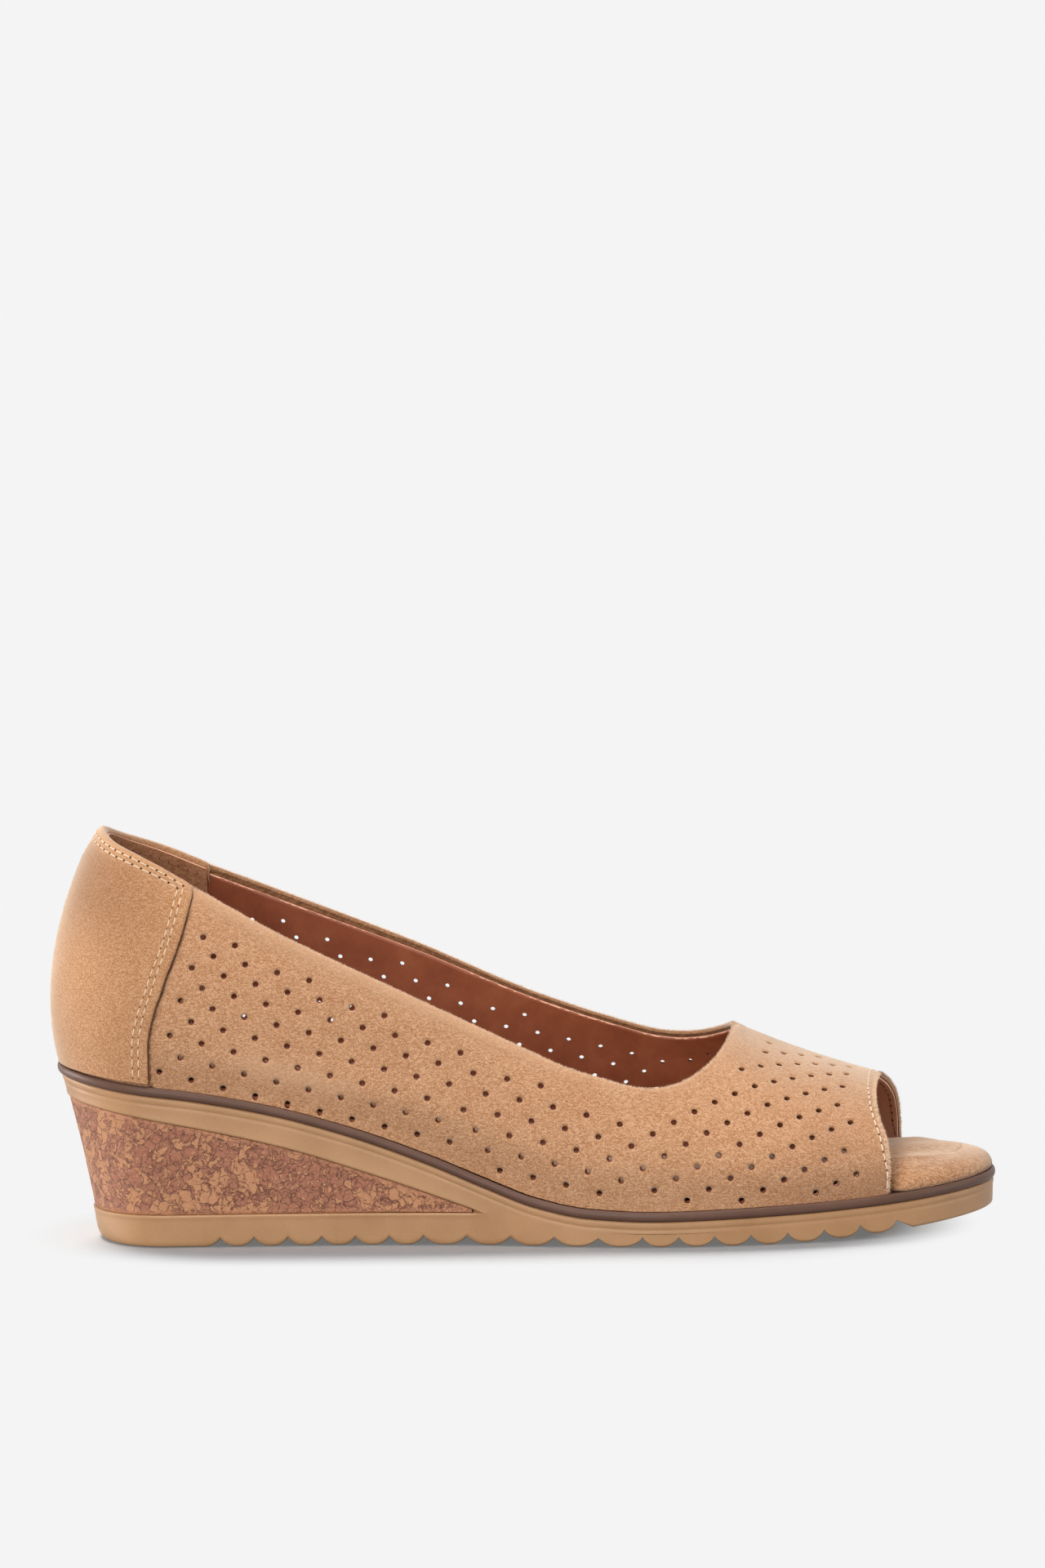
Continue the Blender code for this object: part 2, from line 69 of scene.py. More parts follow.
lastSizes = dict(
    footInset=1.2,  # from the welt's edge to the wall's foot
    backInset=1.9,
    end=224.0,
    back=dict(rise=80.0, lift=0.45, shoulder=0.28, lateral=9.4, medial=9.4),
    # x, rise, ridgeY, lift, shoulder, bulge lateral, bulge medial
    sections=[
        (32, 85.0, 0.0, 0.50, 0.55, 4.0, 4.0),
        (60, 84.0, 0.0, 0.50, 0.58, 3.5, 4.5),
        (90, 77.0, 1.0, 0.50, 0.60, 3.0, 7.0),
        (120, 68.5, 2.0, 0.50, 0.61, 3.0, 8.0),
        (150, 56.0, 3.0, 0.52, 0.62, 3.0, 5.0),
        (179, 42.0, 4.0, 0.55, 0.63, 2.5, 3.0),
        (192, 35.9, 4.5, 0.56, 0.64, 2.5, 2.7),
        (209, 29.4, 5.2, 0.57, 0.65, 2.3, 2.3),
        (224, 24.0, 6.0, 0.58, 0.66, 2.0, 2.0),
    ],
)
collar = dict(
    # x, lateral height, medial height
    topline=[
        (0, 107.2, 107.2), (8, 106.7, 106.3), (23, 102.7, 102.2), (40, 93.7, 95.0), (61, 81.8, 86.7),
        (97, 64.1, 72.1), (123, 51.8, 60.2), (137, 45.5, 54.8), (150, 41.5, 50.3),
    ],
    throatStart=150.0,
    throatTrim=0.36,  # the turned collar narrows by this share towards the throat
    trimFrom=(70.0, 125.0),  # between these runs
    throatFront=178.3,
    throatSquareness=2.4,
    throatPoints=70,
    quarterPoints=260,
    toeRidge=216.6,
    toeCorner=dict(lateral=218.6, medial=221.6),
    # climb up the wall, x of the toe's cut edge
    toeCut=dict(
        lateral=[(0, 218.6), (0.13, 218.9), (0.24, 218.7), (0.35, 218.1), (0.44, 216.95), (0.54, 216.0),
                 (0.63, 215.55), (0.72, 215.5), (0.84, 215.85), (1, 216.6)],
        medial=[(0, 221.6), (0.3, 221.5), (0.5, 220.9), (0.7, 219.1), (0.85, 217.2), (1, 216.6)],
    ),
)

weltLow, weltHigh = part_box("welt")
toWorld = np.array([
    weltHigh[0] / mm - shoe["length"],
    weltLow[1] / mm + shoe["outline"]["lateral"][-1][1],
    0.0,
])


def smoothLine(rows, column=1, flatEnds=False):
    # smooth curve through a table's column that never overshoots its rows
    xs = np.array([row[0] for row in rows], float)
    ys = np.array([row[column] for row in rows], float)
    rises = np.diff(ys) / np.diff(xs)
    inner = [2 * a * b / (a + b) if a * b > 0 else 0.0 for a, b in zip(rises, rises[1:])]
    ends = (0.0, 0.0) if flatEnds else (rises[0], rises[-1])
    slopes = np.array([ends[0], *inner, ends[1]])

    def at(x):
        x = np.asarray(x, float)
        i = np.clip(np.searchsorted(xs, x, side="right") - 1, 0, len(xs) - 2)
        width = xs[i + 1] - xs[i]
        u = np.clip((x - xs[i]) / width, 0, 1)
        start = (1 + 2 * u) * (1 - u) ** 2 * ys[i] + u * (1 - u) ** 2 * width * slopes[i]
        end = u * u * (3 - 2 * u) * ys[i + 1] + u * u * (u - 1) * width * slopes[i + 1]
        beyond = x - np.clip(x, xs[0], xs[-1])
        return start + end + beyond * np.where(beyond < 0, slopes[0], slopes[-1])

    return at


def ease(low, high, value):
    share = np.clip((np.asarray(value, float) - low) / (high - low), 0, 1)
    return share * share * (3 - 2 * share)


def unit(vectors):
    return vectors / np.linalg.norm(vectors, axis=-1, keepdims=True)


def leftOf(way):
    return np.column_stack([-way[:, 1], way[:, 0]])


def tableAt(x, rows):
    # straight lines between the rows of a table with two columns
    return np.interp(x, *zip(*rows))


def wayAlong(line):
    # distance along a polyline at each of its points
    return np.concatenate([[0], np.cumsum(np.linalg.norm(np.diff(line, axis=0), axis=1))])


halfWidth = {side: smoothLine(rows, flatEnds=True) for side, rows in shoe["outline"].items()}
weltTop = smoothLine(shoe["weltTop"])
topline = {side: smoothLine(collar["topline"], i) for i, side in enumerate(sides, 1)}
toeCut = {side: smoothLine(rows) for side, rows in collar["toeCut"].items()}
lastNames = ("rise", "ridgeY", "lift", "shoulder", "lateral", "medial")
lastLine = {name: smoothLine(lastSizes["sections"], i) for i, name in enumerate(lastNames, 1)}


def sideY(x, side, inset):
    # the outline's y ahead of the heel's round, set in from the welt's edge
    ballX, ballWidth = shoe["outline"][side][-1]
    sign = sides[side]
    waist = sign * (halfWidth[side](np.minimum(x, ballX)) - inset)
    share = np.clip((x - ballX) / (shoe["length"] - inset - ballX), 0, 1)
    power = shoe["toeSquareness"][side]
    reach = ballWidth - inset - sign * shoe["tipY"]
    toe = shoe["tipY"] + sign * reach * (1 - share ** power) ** (1 / power)
    return np.where(x <= ballX, waist, toe)


def heelPoint(angle, side, inset, back):
    length = shoe["heelAxis"] - shoe["heelBack"] - inset - back
    width = halfWidth[side](shoe["heelAxis"]) - inset
    return shoe["heelAxis"] - length * np.cos(angle), sides[side] * width * np.sin(angle)


def lastPoint(s, t, side):
    # outside of the upper: s is x, or an angle round the heel behind heelAxis; t climbs from welt to ridge
    s, t = np.broadcast_arrays(np.asarray(s, float), np.asarray(t, float))
    axis = shoe["heelAxis"]
    ahead = np.maximum(s, axis)
    angle = np.pi / 2 * np.clip(s, 0, axis) / axis
    back = lastSizes["back"]
    names = ("rise", "lift", "shoulder", side)
    rise, lift, shoulder, bulge = (
        back[name] + (lastLine[name](ahead) - back[name]) * np.sin(angle) ** 2 for name in names
    )
    inset = lastSizes["backInset"] + (lastSizes["footInset"] - lastSizes["backInset"]) * np.sin(angle)
    heelX, heelY = heelPoint(angle, side, inset, 0.0)
    footX = np.where(s < axis, heelX, s)
    footY = np.where(s < axis, heelY, sideY(ahead, side, lastSizes["footInset"]))
    spineY = lastLine["ridgeY"](ahead)
    span = np.hypot(footX - ahead, footY - spineY)
    out = (1 - t) ** 3 * span + 3 * (1 - t) ** 2 * t * (span + bulge) + 3 * (1 - t) * t * t * shoulder * span
    up = rise * (3 * (1 - t) ** 2 * t * lift + 3 * (1 - t) * t * t + t ** 3)
    share = out / span
    x, y = ahead + (footX - ahead) * share, spineY + (footY - spineY) * share
    return np.stack([x, y, weltTop(footX) + shoe["gap"] + up], axis=-1)


def lastNormal(s, t, side):
    step = 0.02
    along = lastPoint(s + step, t, side) - lastPoint(np.maximum(s - step, 0), t, side)
    up = lastPoint(s, np.minimum(t + step, 1), side) - lastPoint(s, np.maximum(t - step, 0), side)
    return unit(np.cross(along, up) * -sides[side])


# The wall laid flat: run is the way along the shoe, height the way up the wall from the floor
flatGrid = dict(stations=np.linspace(0, lastSizes["end"], 449), climbs=np.linspace(0, 1, 121))


def flatHeights(side):
    grid = lastPoint(flatGrid["stations"][:, None], flatGrid["climbs"][None, :], side)
    steps = np.linalg.norm(np.diff(grid, axis=1), axis=2)
    climbed = np.concatenate([np.zeros((len(grid), 1)), np.cumsum(steps, axis=1)], axis=1)
    return grid[:, :1, 2] + climbed


flatTable = {side: flatHeights(side) for side in sides}


def flatRows(s, side):
    # the table's rows at stations s, read between its own
    stations = flatGrid["stations"]
    place = np.clip(np.asarray(s, float) / stations[1], 0, len(stations) - 1.001)
    i = place.astype(int)
    share = (place - i)[..., None]
    return flatTable[side][i] * (1 - share) + flatTable[side][i + 1] * share


def heightAt(s, t, side):
    rows = flatRows(np.atleast_1d(s), side)
    climbs = flatGrid["climbs"]
    return np.array([np.interp(climb, climbs, row) for climb, row in zip(np.atleast_1d(t), rows)])


def climbAt(s, height, side):
    rows = flatRows(np.atleast_1d(s), side)
    climbs = flatGrid["climbs"]
    return np.array([np.interp(h, row, climbs) for h, row in zip(np.atleast_1d(height), rows)])


def runOf(s):
    axis = shoe["heelAxis"]
    s = np.asarray(s, float)
    return np.where(s < axis, axis - shoe["heelArc"] * (1 - s / axis), s)


def stationOf(run):
    axis = shoe["heelAxis"]
    run = np.asarray(run, float)
    return np.where(run < axis, axis * (1 - (axis - run) / shoe["heelArc"]), run)


def wallPoint(run, height, side, out=0.0):
    # a point of the flat wall, back on the last and lifted off it
    s = stationOf(run)
    t = climbAt(s, height, side)
    return lastPoint(s, t, side) + lastNormal(s, t, side) * np.reshape(out, (-1, 1))


def throatShare(run):
    # what is left of the turned collar's width at a run
    return 1 - collar["throatTrim"] * ease(*collar["trimFrom"], run)


def toplineHeight(s, side):
    # flat height where the wall reaches the collar
    s = np.atleast_1d(np.asarray(s, float))
    climbs = flatGrid["climbs"]
    heights = lastPoint(s[:, None], climbs[None, :], side)[..., 2]
    target = topline[side](s)
    t = np.array([np.interp(z, row, climbs) for z, row in zip(target, heights)])
    return heightAt(s, t, side)


def collarLine(side, drop=0.0):
    # from the ridge at the throat back to the heel, in the flat wall, set down by drop
    start = collar["throatStart"]
    lowest = climbAt(start, toplineHeight(start, side), side)[0]
    power = 2 / collar["throatSquareness"]
    angle = np.linspace(np.pi / 2, 0, collar["throatPoints"])
    s = start + (collar["throatFront"] - start) * np.sin(angle) ** power
    t = 1 - (1 - lowest) * np.cos(angle).clip(0) ** power
    throat = np.column_stack([s, heightAt(s, t, side)])
    back = np.linspace(start, 0, collar["quarterPoints"])[1:]
    quarter = np.column_stack([runOf(back), toplineHeight(back, side)])
    line = np.concatenate([throat, quarter])
    if drop:
        deep = drop * throatShare(line[:, 0])
        line = line + deep[:, None] * leftOf(unit(np.gradient(line, axis=0)))
        ridgeRun = collar["throatFront"] + deep[0]
        line[0] = ridgeRun, heightAt(ridgeRun, 1.0, side)[0]
        line[-1] = runOf(0.0), line[-1][1]
    return line


# Small helpers for meshes and materials
def newPiece(name, verts, faces, materials, slots=None, slotName=None, replaced=None):
    mesh = bpy.data.meshes.new(name)
    mesh.from_pydata((np.asarray(verts) + toWorld) * mm, [], [list(map(int, face)) for face in faces])
    for material in materials:
        mesh.materials.append(material)
    if slots is not None:
        mesh.polygons.foreach_set("material_index", np.asarray(slots, dtype=np.int32))
    mesh.validate()
    mesh.shade_smooth()
    mesh.set_sharp_from_angle(angle=math.radians(50))
    piece = bpy.data.objects.new(name, mesh)
    bpy.context.scene.collection.objects.link(piece)
    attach(piece, "root")
    if replaced:
        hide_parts(replaced)
    print(name, "triangles:", sum(len(p.vertices) - 2 for p in mesh.polygons))
    return piece


def paint(piece, name, values):
    # a soft tone on the piece's points, which its material reads by name
    tone = piece.data.attributes.new(name, "FLOAT", "POINT")
    tone.data.foreach_set("value", np.ravel(values).astype(np.float32))


def gridFaces(rows, columns, closeRows=False, closeColumns=False):
    # quads of a grid whose points are numbered row by row
    faces = []
    for i in range(rows if closeRows else rows - 1):
        for j in range(columns if closeColumns else columns - 1):
            a, b = i * columns + j, i * columns + (j + 1) % columns
            c, d = ((i + 1) % rows) * columns + (j + 1) % columns, ((i + 1) % rows) * columns + j
            faces.append((a, b, c, d))
    return faces


def weld(verts, faces, near=1e-3):
    # joins points that coincide and drops faces that vanish
    keys = np.round(np.asarray(verts) / near).astype(np.int64)
    _, first, joined = np.unique(keys, axis=0, return_index=True, return_inverse=True)
    joined = joined.ravel()
    kept = []
    for face in faces:
        loop = [joined[i] for i in face]
        loop = [v for i, v in enumerate(loop) if v != loop[i - 1]]
        if len(set(loop)) > 2:
            kept.append(loop)
    return np.asarray(verts)[first], kept, first


def linear(hexColour):
    channels = [int(hexColour[i:i + 2], 16) / 255 for i in (1, 3, 5)]
    straight = [c / 12.92 if c <= 0.04045 else ((c + 0.055) / 1.055) ** 2.4 for c in channels]
    return (*straight, 1.0)


def node(tree, kind, links=None, stops=(), **settings):
    # one node with its settings, a ramp's stops, and each socket's link or plain value
    made = tree.nodes.new("ShaderNode" + kind)
    for name, value in settings.items():
        setattr(made, name, value)
    for _ in stops[2:]:
        made.color_ramp.elements.new(0.5)
    for i, (place, colour) in enumerate(stops):
        made.color_ramp.elements[i].position = place
        made.color_ramp.elements[i].color = linear(colour)
    for socket, source in (links or {}).items():
        target = made.inputs[socket]
        if isinstance(source, bpy.types.NodeSocket):
            tree.links.new(source, target)
        else:
            target.default_value = source
    return made


def newMaterial(name):
    material = bpy.data.materials.new(name)
    material.use_nodes = True
    tree = material.node_tree
    tree.nodes.clear()
    coords = node(tree, "TexCoord").outputs["Object"]
    return material, tree, coords


def perMm(size):
    return 1 / (size * mm)  # texture scale for a feature of that many millimetres


# Faux suede, a brushed microfibre: matt, with a short nap in wavy streaks and pale tips that light up edge-on
def nappedSuede(name, look):
    material, tree, coords = newMaterial(name)
    drift = node(tree, "TexNoise", {"Vector": coords, "Scale": perMm(4.0), "Detail": 2.0})
    bent = node(tree, "VectorMath", {0: drift.outputs["Color"], "Scale": 2.2 * mm}, operation="SCALE")
    swept = node(tree, "VectorMath", {0: coords, 1: bent.outputs[0]}, operation="ADD")
    lean = node(
        tree, "Mapping",
        {"Vector": swept.outputs[0], "Rotation": look["napLean"], "Scale": (0.42, 1.0, 1.0)},
    )
    # real nap is about 0.1 mm, drawn at 0.3 mm and up so that it shows
    nap = node(tree, "TexNoise", {"Vector": lean.outputs[0], "Scale": perMm(look["nap"]), "Detail": 2.0,
                                  "Roughness": 0.55})
    fibre = node(tree, "TexNoise", {"Vector": coords, "Scale": perMm(0.33), "Detail": 1.0, "Roughness": 0.6})
    brushMarksAndPaintedShade = node(tree, "TexNoise", {"Vector": swept.outputs[0], "Scale": perMm(look["mottle"]),
                                      "Detail": 4.0, "Roughness": 0.6})
    streaks = node(tree, "Mix", {"Factor": 0.5, "A": nap.outputs["Fac"], "B": fibre.outputs["Fac"]})
    tone = node(tree, "Mix", {"Factor": 0.10, "A": streaks.outputs["Result"], "B": brushMarksAndPaintedShade.outputs["Fac"]})
    dark, base, pale = look["colours"]
    stops = [(0.40, dark), (0.5, base), (0.60, pale)]
    colour = node(tree, "ValToRGB", {"Fac": tone.outputs["Result"]}, stops).outputs["Color"]
    # the points' painted highlight mixes the colour towards the pale stop, their painted shade towards the
    # deep colour
    paintedHighlight = node(tree, "Attribute", attribute_name="paintedHighlight").outputs["Fac"]
    colour = node(tree, "Mix", {"Factor": paintedHighlight, "A": colour, "B": linear(pale)}, data_type="RGBA").outputs[2]
    shade = node(tree, "Attribute", attribute_name="shade").outputs["Fac"]
    deep = linear(look["deep"])
    colour = node(tree, "Mix", {"Factor": shade, "A": colour, "B": deep}, data_type="RGBA").outputs[2]
    bump = node(tree, "Bump", {"Height": streaks.outputs["Result"], "Strength": look["bump"],
                               "Distance": 0.3 * mm})
    shader = node(tree, "BsdfPrincipled", {
        "Base Color": colour, "Roughness": 0.95, "IOR": 1.45, "Specular IOR Level": 0.15,
        "Normal": bump.outputs["Normal"], "Sheen Weight": look["sheen"], "Sheen Roughness": 0.42,
        "Sheen Tint": linear(look["tips"]),
    })
    node(tree, "OutputMaterial", {"Surface": shader.outputs["BSDF"]})
    return material


# Pigment-finished lining leather: smooth, faintly grained, a soft gloss over dark red-brown
def liningLeather(name, look):
    material, tree, coords = newMaterial(name)
    pores = node(tree, "TexVoronoi", {"Vector": coords, "Scale": perMm(0.9)}, feature="SMOOTH_F1")
    cloud = node(tree, "TexNoise", {"Vector": coords, "Scale": perMm(7.0), "Detail": 4.0, "Roughness": 0.6})
    dark, base, pale = look["colours"]
    stops = [(0.3, dark), (0.5, base), (0.7, pale)]
    colour = node(tree, "ValToRGB", {"Fac": cloud.outputs["Fac"]}, stops).outputs["Color"]
    # painted light: the lining grows paler towards the open toe
    paintedToeLight = node(tree, "Attribute", attribute_name="paintedToeLight").outputs["Fac"]
    tip = linear(look["paintedToeLight"])
    colour = node(tree, "Mix", {"Factor": paintedToeLight, "A": colour, "B": tip}, data_type="RGBA").outputs[2]
    bump = node(tree, "Bump", {"Height": pores.outputs["Distance"], "Strength": 0.35, "Distance": 0.12 * mm})
    shader = node(tree, "BsdfPrincipled", {
        "Base Color": colour, "Roughness": look["roughness"], "IOR": 1.5, "Specular IOR Level": 0.4,
        "Normal": bump.outputs["Normal"],
    })
    node(tree, "OutputMaterial", {"Surface": shader.outputs["BSDF"]})
    return material


# Injection-moulded rubber: satin, a hint of mould texture and a faint cloud in the colour
def mouldedRubber(name, look):
    material, tree, coords = newMaterial(name)
    cloud = node(tree, "TexNoise", {"Vector": coords, "Scale": perMm(14.0), "Detail": 3.0})
    grit = node(tree, "TexNoise", {"Vector": coords, "Scale": perMm(0.5), "Detail": 2.0})
    tone = node(tree, "Mix", {"Factor": 0.3, "A": cloud.outputs["Fac"], "B": grit.outputs["Fac"]})
    dark, base, pale = look["colours"]
    stops = [(0.34, dark), (0.5, base), (0.66, pale)]
    colour = node(tree, "ValToRGB", {"Fac": tone.outputs["Result"]}, stops).outputs["Color"]
    rough = node(tree, "MapRange", {"Value": cloud.outputs["Fac"], "To Min": look["roughness"] - 0.06,
                                    "To Max": look["roughness"] + 0.08})
    bump = node(tree, "Bump", {"Height": grit.outputs["Fac"], "Strength": 0.2, "Distance": 0.08 * mm})
    shader = node(tree, "BsdfPrincipled", {
        "Base Color": colour, "Roughness": rough.outputs["Result"], "IOR": 1.5,
        "Specular IOR Level": look["gloss"], "Normal": bump.outputs["Normal"],
    })
    node(tree, "OutputMaterial", {"Surface": shader.outputs["BSDF"]})
    return material


# Pressed and sealed cork: flat tan plates over red-brown bark, dark cracks, small grains lightened by a
# painted highlight, and painted shade along the plates' edges
def pressedCork(name, look):
    material, tree, coords = newMaterial(name)
    border = node(tree, "Attribute", attribute_name="border").outputs["Fac"]
    zones = node(tree, "TexNoise", {"Vector": coords, "Scale": perMm(18.0), "Detail": 1.0}).outputs["Fac"]
    flakes = node(tree, "TexNoise", {"Vector": coords, "Scale": perMm(look["flake"]), "Detail": 7.0,
                                     "Roughness": 0.62, "Distortion": 0.5}).outputs["Fac"]
    grains = node(tree, "TexNoise", {"Vector": coords, "Scale": perMm(look["grain"]), "Detail": 3.0,
                                     "Roughness": 0.6}).outputs["Fac"]
    jag = node(tree, "TexNoise", {"Vector": coords, "Scale": perMm(2.0), "Detail": 4.0})
    jagged = node(tree, "VectorMath", {0: jag.outputs["Color"], "Scale": 3.0 * mm}, operation="SCALE")
    cracked = node(tree, "VectorMath", {0: coords, 1: jagged.outputs[0]}, operation="ADD")
    cells = node(tree, "TexVoronoi", {"Vector": cracked.outputs[0], "Scale": perMm(look["crack"])},
                 feature="DISTANCE_TO_EDGE").outputs["Distance"]
    uneven = node(tree, "Math", {0: zones, 1: 0.5}, operation="SUBTRACT").outputs[0]
    level = node(tree, "Math", {0: uneven, 1: 0.35, 2: flakes}, operation="MULTIPLY_ADD").outputs[0]
    # what each mask reads, where it starts and where it is full
    masks = dict(
        plates=(level, 0.485, 0.515),
        plateEdgeShade=(level, 0.44, 0.485),
        grain=(grains, 0.52, 0.6),
        broken=(grains, 0.42, 0.56),
        whole=(cells, 0.015, 0.075),
        bark=(grains, 0.38, 0.62),
        plate=(grains, 0.3, 0.7),
    )
    for part, (value, low, high) in masks.items():
        masks[part] = node(tree, "MapRange", {"Value": value, "From Min": low, "From Max": high},
                           interpolation_type="SMOOTHSTEP").outputs["Result"]
    plates = masks["plates"]
    rim = node(tree, "Math", {0: masks["plateEdgeShade"], 1: plates}, operation="SUBTRACT").outputs[0]
    between = node(tree, "Math", {0: 1.0, 1: plates}, operation="SUBTRACT").outputs[0]
    grain = node(tree, "Math", {0: masks["grain"], 1: between}, operation="MULTIPLY").outputs[0]
    split = node(tree, "Math", {0: 1.0, 1: masks["whole"]}, operation="SUBTRACT").outputs[0]
    crack = node(tree, "Math", {0: split, 1: masks["broken"]}, operation="MULTIPLY").outputs[0]
    bark, plate = (
        node(tree, "Mix", {"Factor": masks[part], "A": linear(look[part][0]), "B": linear(look[part][1])},
             data_type="RGBA").outputs[2]
        for part in ("bark", "plate")
    )
    colour = node(tree, "Mix", {"Factor": plates, "A": bark, "B": plate}, data_type="RGBA").outputs[2]
    # mask, share and colour of each layer over them
    # grains take a painted highlight, the plates' edges painted shade
    layers = [(grain, 0.75, "grainHighlight"), (rim, 0.55, "dark"), (crack, 0.8, "dark"), (border, 0.85, "border")]
    for mask, share, tint in layers:
        cover = node(tree, "Math", {0: mask, 1: share}, operation="MULTIPLY").outputs[0]
        colour = node(tree, "Mix", {"Factor": cover, "A": colour, "B": linear(look[tint])},
                      data_type="RGBA").outputs[2]
    height = 0.0
    for mask, rise in ((plates, 0.7), (grain, 0.5), (crack, -0.6), (grains, 0.25)):
        height = node(tree, "Math", {0: mask, 1: rise, 2: height}, operation="MULTIPLY_ADD").outputs[0]
    bump = node(tree, "Bump", {"Height": height, "Strength": 0.9, "Distance": look["relief"] * mm})
    shader = node(tree, "BsdfPrincipled", {
        "Base Color": colour, "Roughness": 0.6, "IOR": 1.45, "Specular IOR Level": 0.3,
        "Normal": bump.outputs["Normal"],
    })
    node(tree, "OutputMaterial", {"Surface": shader.outputs["BSDF"]})
    return material


# Twisted polyester thread: cream, slightly shiny, ply marks across it
def sewingThread(name, look):
    material, tree, coords = newMaterial(name)
    ply = node(tree, "TexNoise", {"Vector": coords, "Scale": perMm(0.3), "Detail": 2.0})
    stops = list(zip((0.35, 0.65), look["colours"]))
    colour = node(tree, "ValToRGB", {"Fac": ply.outputs["Fac"]}, stops).outputs["Color"]
    shader = node(tree, "BsdfPrincipled", {
        "Base Color": colour, "Roughness": 0.6, "IOR": 1.5, "Sheen Weight": 0.2,
    })
    node(tree, "OutputMaterial", {"Surface": shader.outputs["BSDF"]})
    return material


# deep is the colour that painted shade darkens towards
suedeBase = dict(tips="#FFEDD8", deep="#5B3824", mottle=9.0, bump=0.7)
finishes = dict(
    upperSuede=dict(suedeBase, colours=("#A87650", "#BE8E68", "#D1A683"), nap=0.40, bump=0.8, sheen=1.0,
                    napLean=(0.0, 0.5, 0.0)),
    counterSuede=dict(suedeBase, colours=("#A7744C", "#BB8A62", "#CDA17B"), nap=0.38, mottle=10.0, sheen=1.0,
                      napLean=(0.0, -0.7, 0.0)),
    insoleSuede=dict(suedeBase, colours=("#9A6944", "#B4845E", "#CAA17E"), deep="#442B20", nap=0.65,
                     sheen=0.9, napLean=(0.0, 0.0, 0.4)),
    # the turned collar's inside is a darker copy of the upper's suede: painted shade
    shadedTurnedSuede=dict(suedeBase, colours=("#6E4A33", "#835B40", "#9B7253"), nap=0.8, sheen=0.2,
                     napLean=(0.0, 0.5, 0.0)),
    # walls of holes and the counter's cut ends: darker suede, partly their own colour and partly painted
    # shade
    punchedSuede=dict(suedeBase, colours=("#6B4129", "#7B4D32", "#8C5B3E"), nap=0.5, bump=0.3, sheen=0.0,
                      napLean=(0.0, 0.0, 0.0)),
    gripSuede=dict(suedeBase, colours=("#8F5F41", "#A37251", "#B28362"), tips="#F5DCC8", nap=0.8, mottle=7.0,
                   bump=0.5, sheen=0.15, napLean=(0.0, 0.6, 0.0)),
    lining=dict(colours=("#85472E", "#904E33", "#9B573A"), paintedToeLight="#E4AB8A", roughness=0.46),
    # the cut edge's pale colour is partly its own and partly a painted highlight
    liningEdge=dict(colours=("#CC9377", "#D9A286", "#E4B297"), paintedToeLight="#E4B297", roughness=0.8),
    # loose fibres: pale, partly their own colour and partly a painted sheen along the edges
    fuzz=dict(colours=("#E2BE9A", "#F3D8BA")),
    rubber=dict(colours=("#AB7F57", "#B2875E", "#B98D64"), roughness=0.46, gloss=0.4),
    welt=dict(colours=("#5E4539", "#63483C", "#694D41"), roughness=0.42, gloss=0.18),
    cork=dict(flake=3.3, grain=0.7, crack=2.6, relief=0.35, bark=("#A46A53", "#B97F62"),
              plate=("#B7815E", "#C58F68"), grainHighlight="#C5906E", dark="#7A4B42", border="#C18766"),
    thread=dict(colours=("#DDC4A2", "#F2E2C8")),
    brownThread=dict(colours=("#8A5B42", "#A06E52")),
    # needle holes: near black, painted shade inside each hole
    needleHole=dict(colours=("#33201A", "#3E2820", "#4A3026"), paintedToeLight="#33201A", roughness=0.95),
)
suede = nappedSuede("upper faux suede", finishes["upperSuede"])
counterCloth = nappedSuede("counter faux suede", finishes["counterSuede"])
insoleCloth = nappedSuede("insole faux suede", finishes["insoleSuede"])
shadedTurnedCloth = nappedSuede("turned collar suede in painted shade", finishes["shadedTurnedSuede"])
punchedEdge = nappedSuede("punched suede edge", finishes["punchedSuede"])
gripCloth = nappedSuede("heel grip suede", finishes["gripSuede"])
leather = liningLeather("lining leather", finishes["lining"])
leatherEdge = liningLeather("lining leather cut edge", finishes["liningEdge"])
needleDark = liningLeather("needle hole", finishes["needleHole"])
rubber = mouldedRubber("tan moulded rubber", finishes["rubber"])
weltRubber = mouldedRubber("brown welt rubber", finishes["welt"])
cork = pressedCork("pressed cork", finishes["cork"])
thread = sewingThread("cream polyester thread", finishes["thread"])
fuzz = sewingThread("loose suede fibres", finishes["fuzz"])
brownThread = sewingThread("brown polyester thread", finishes["brownThread"])
print("materials made")

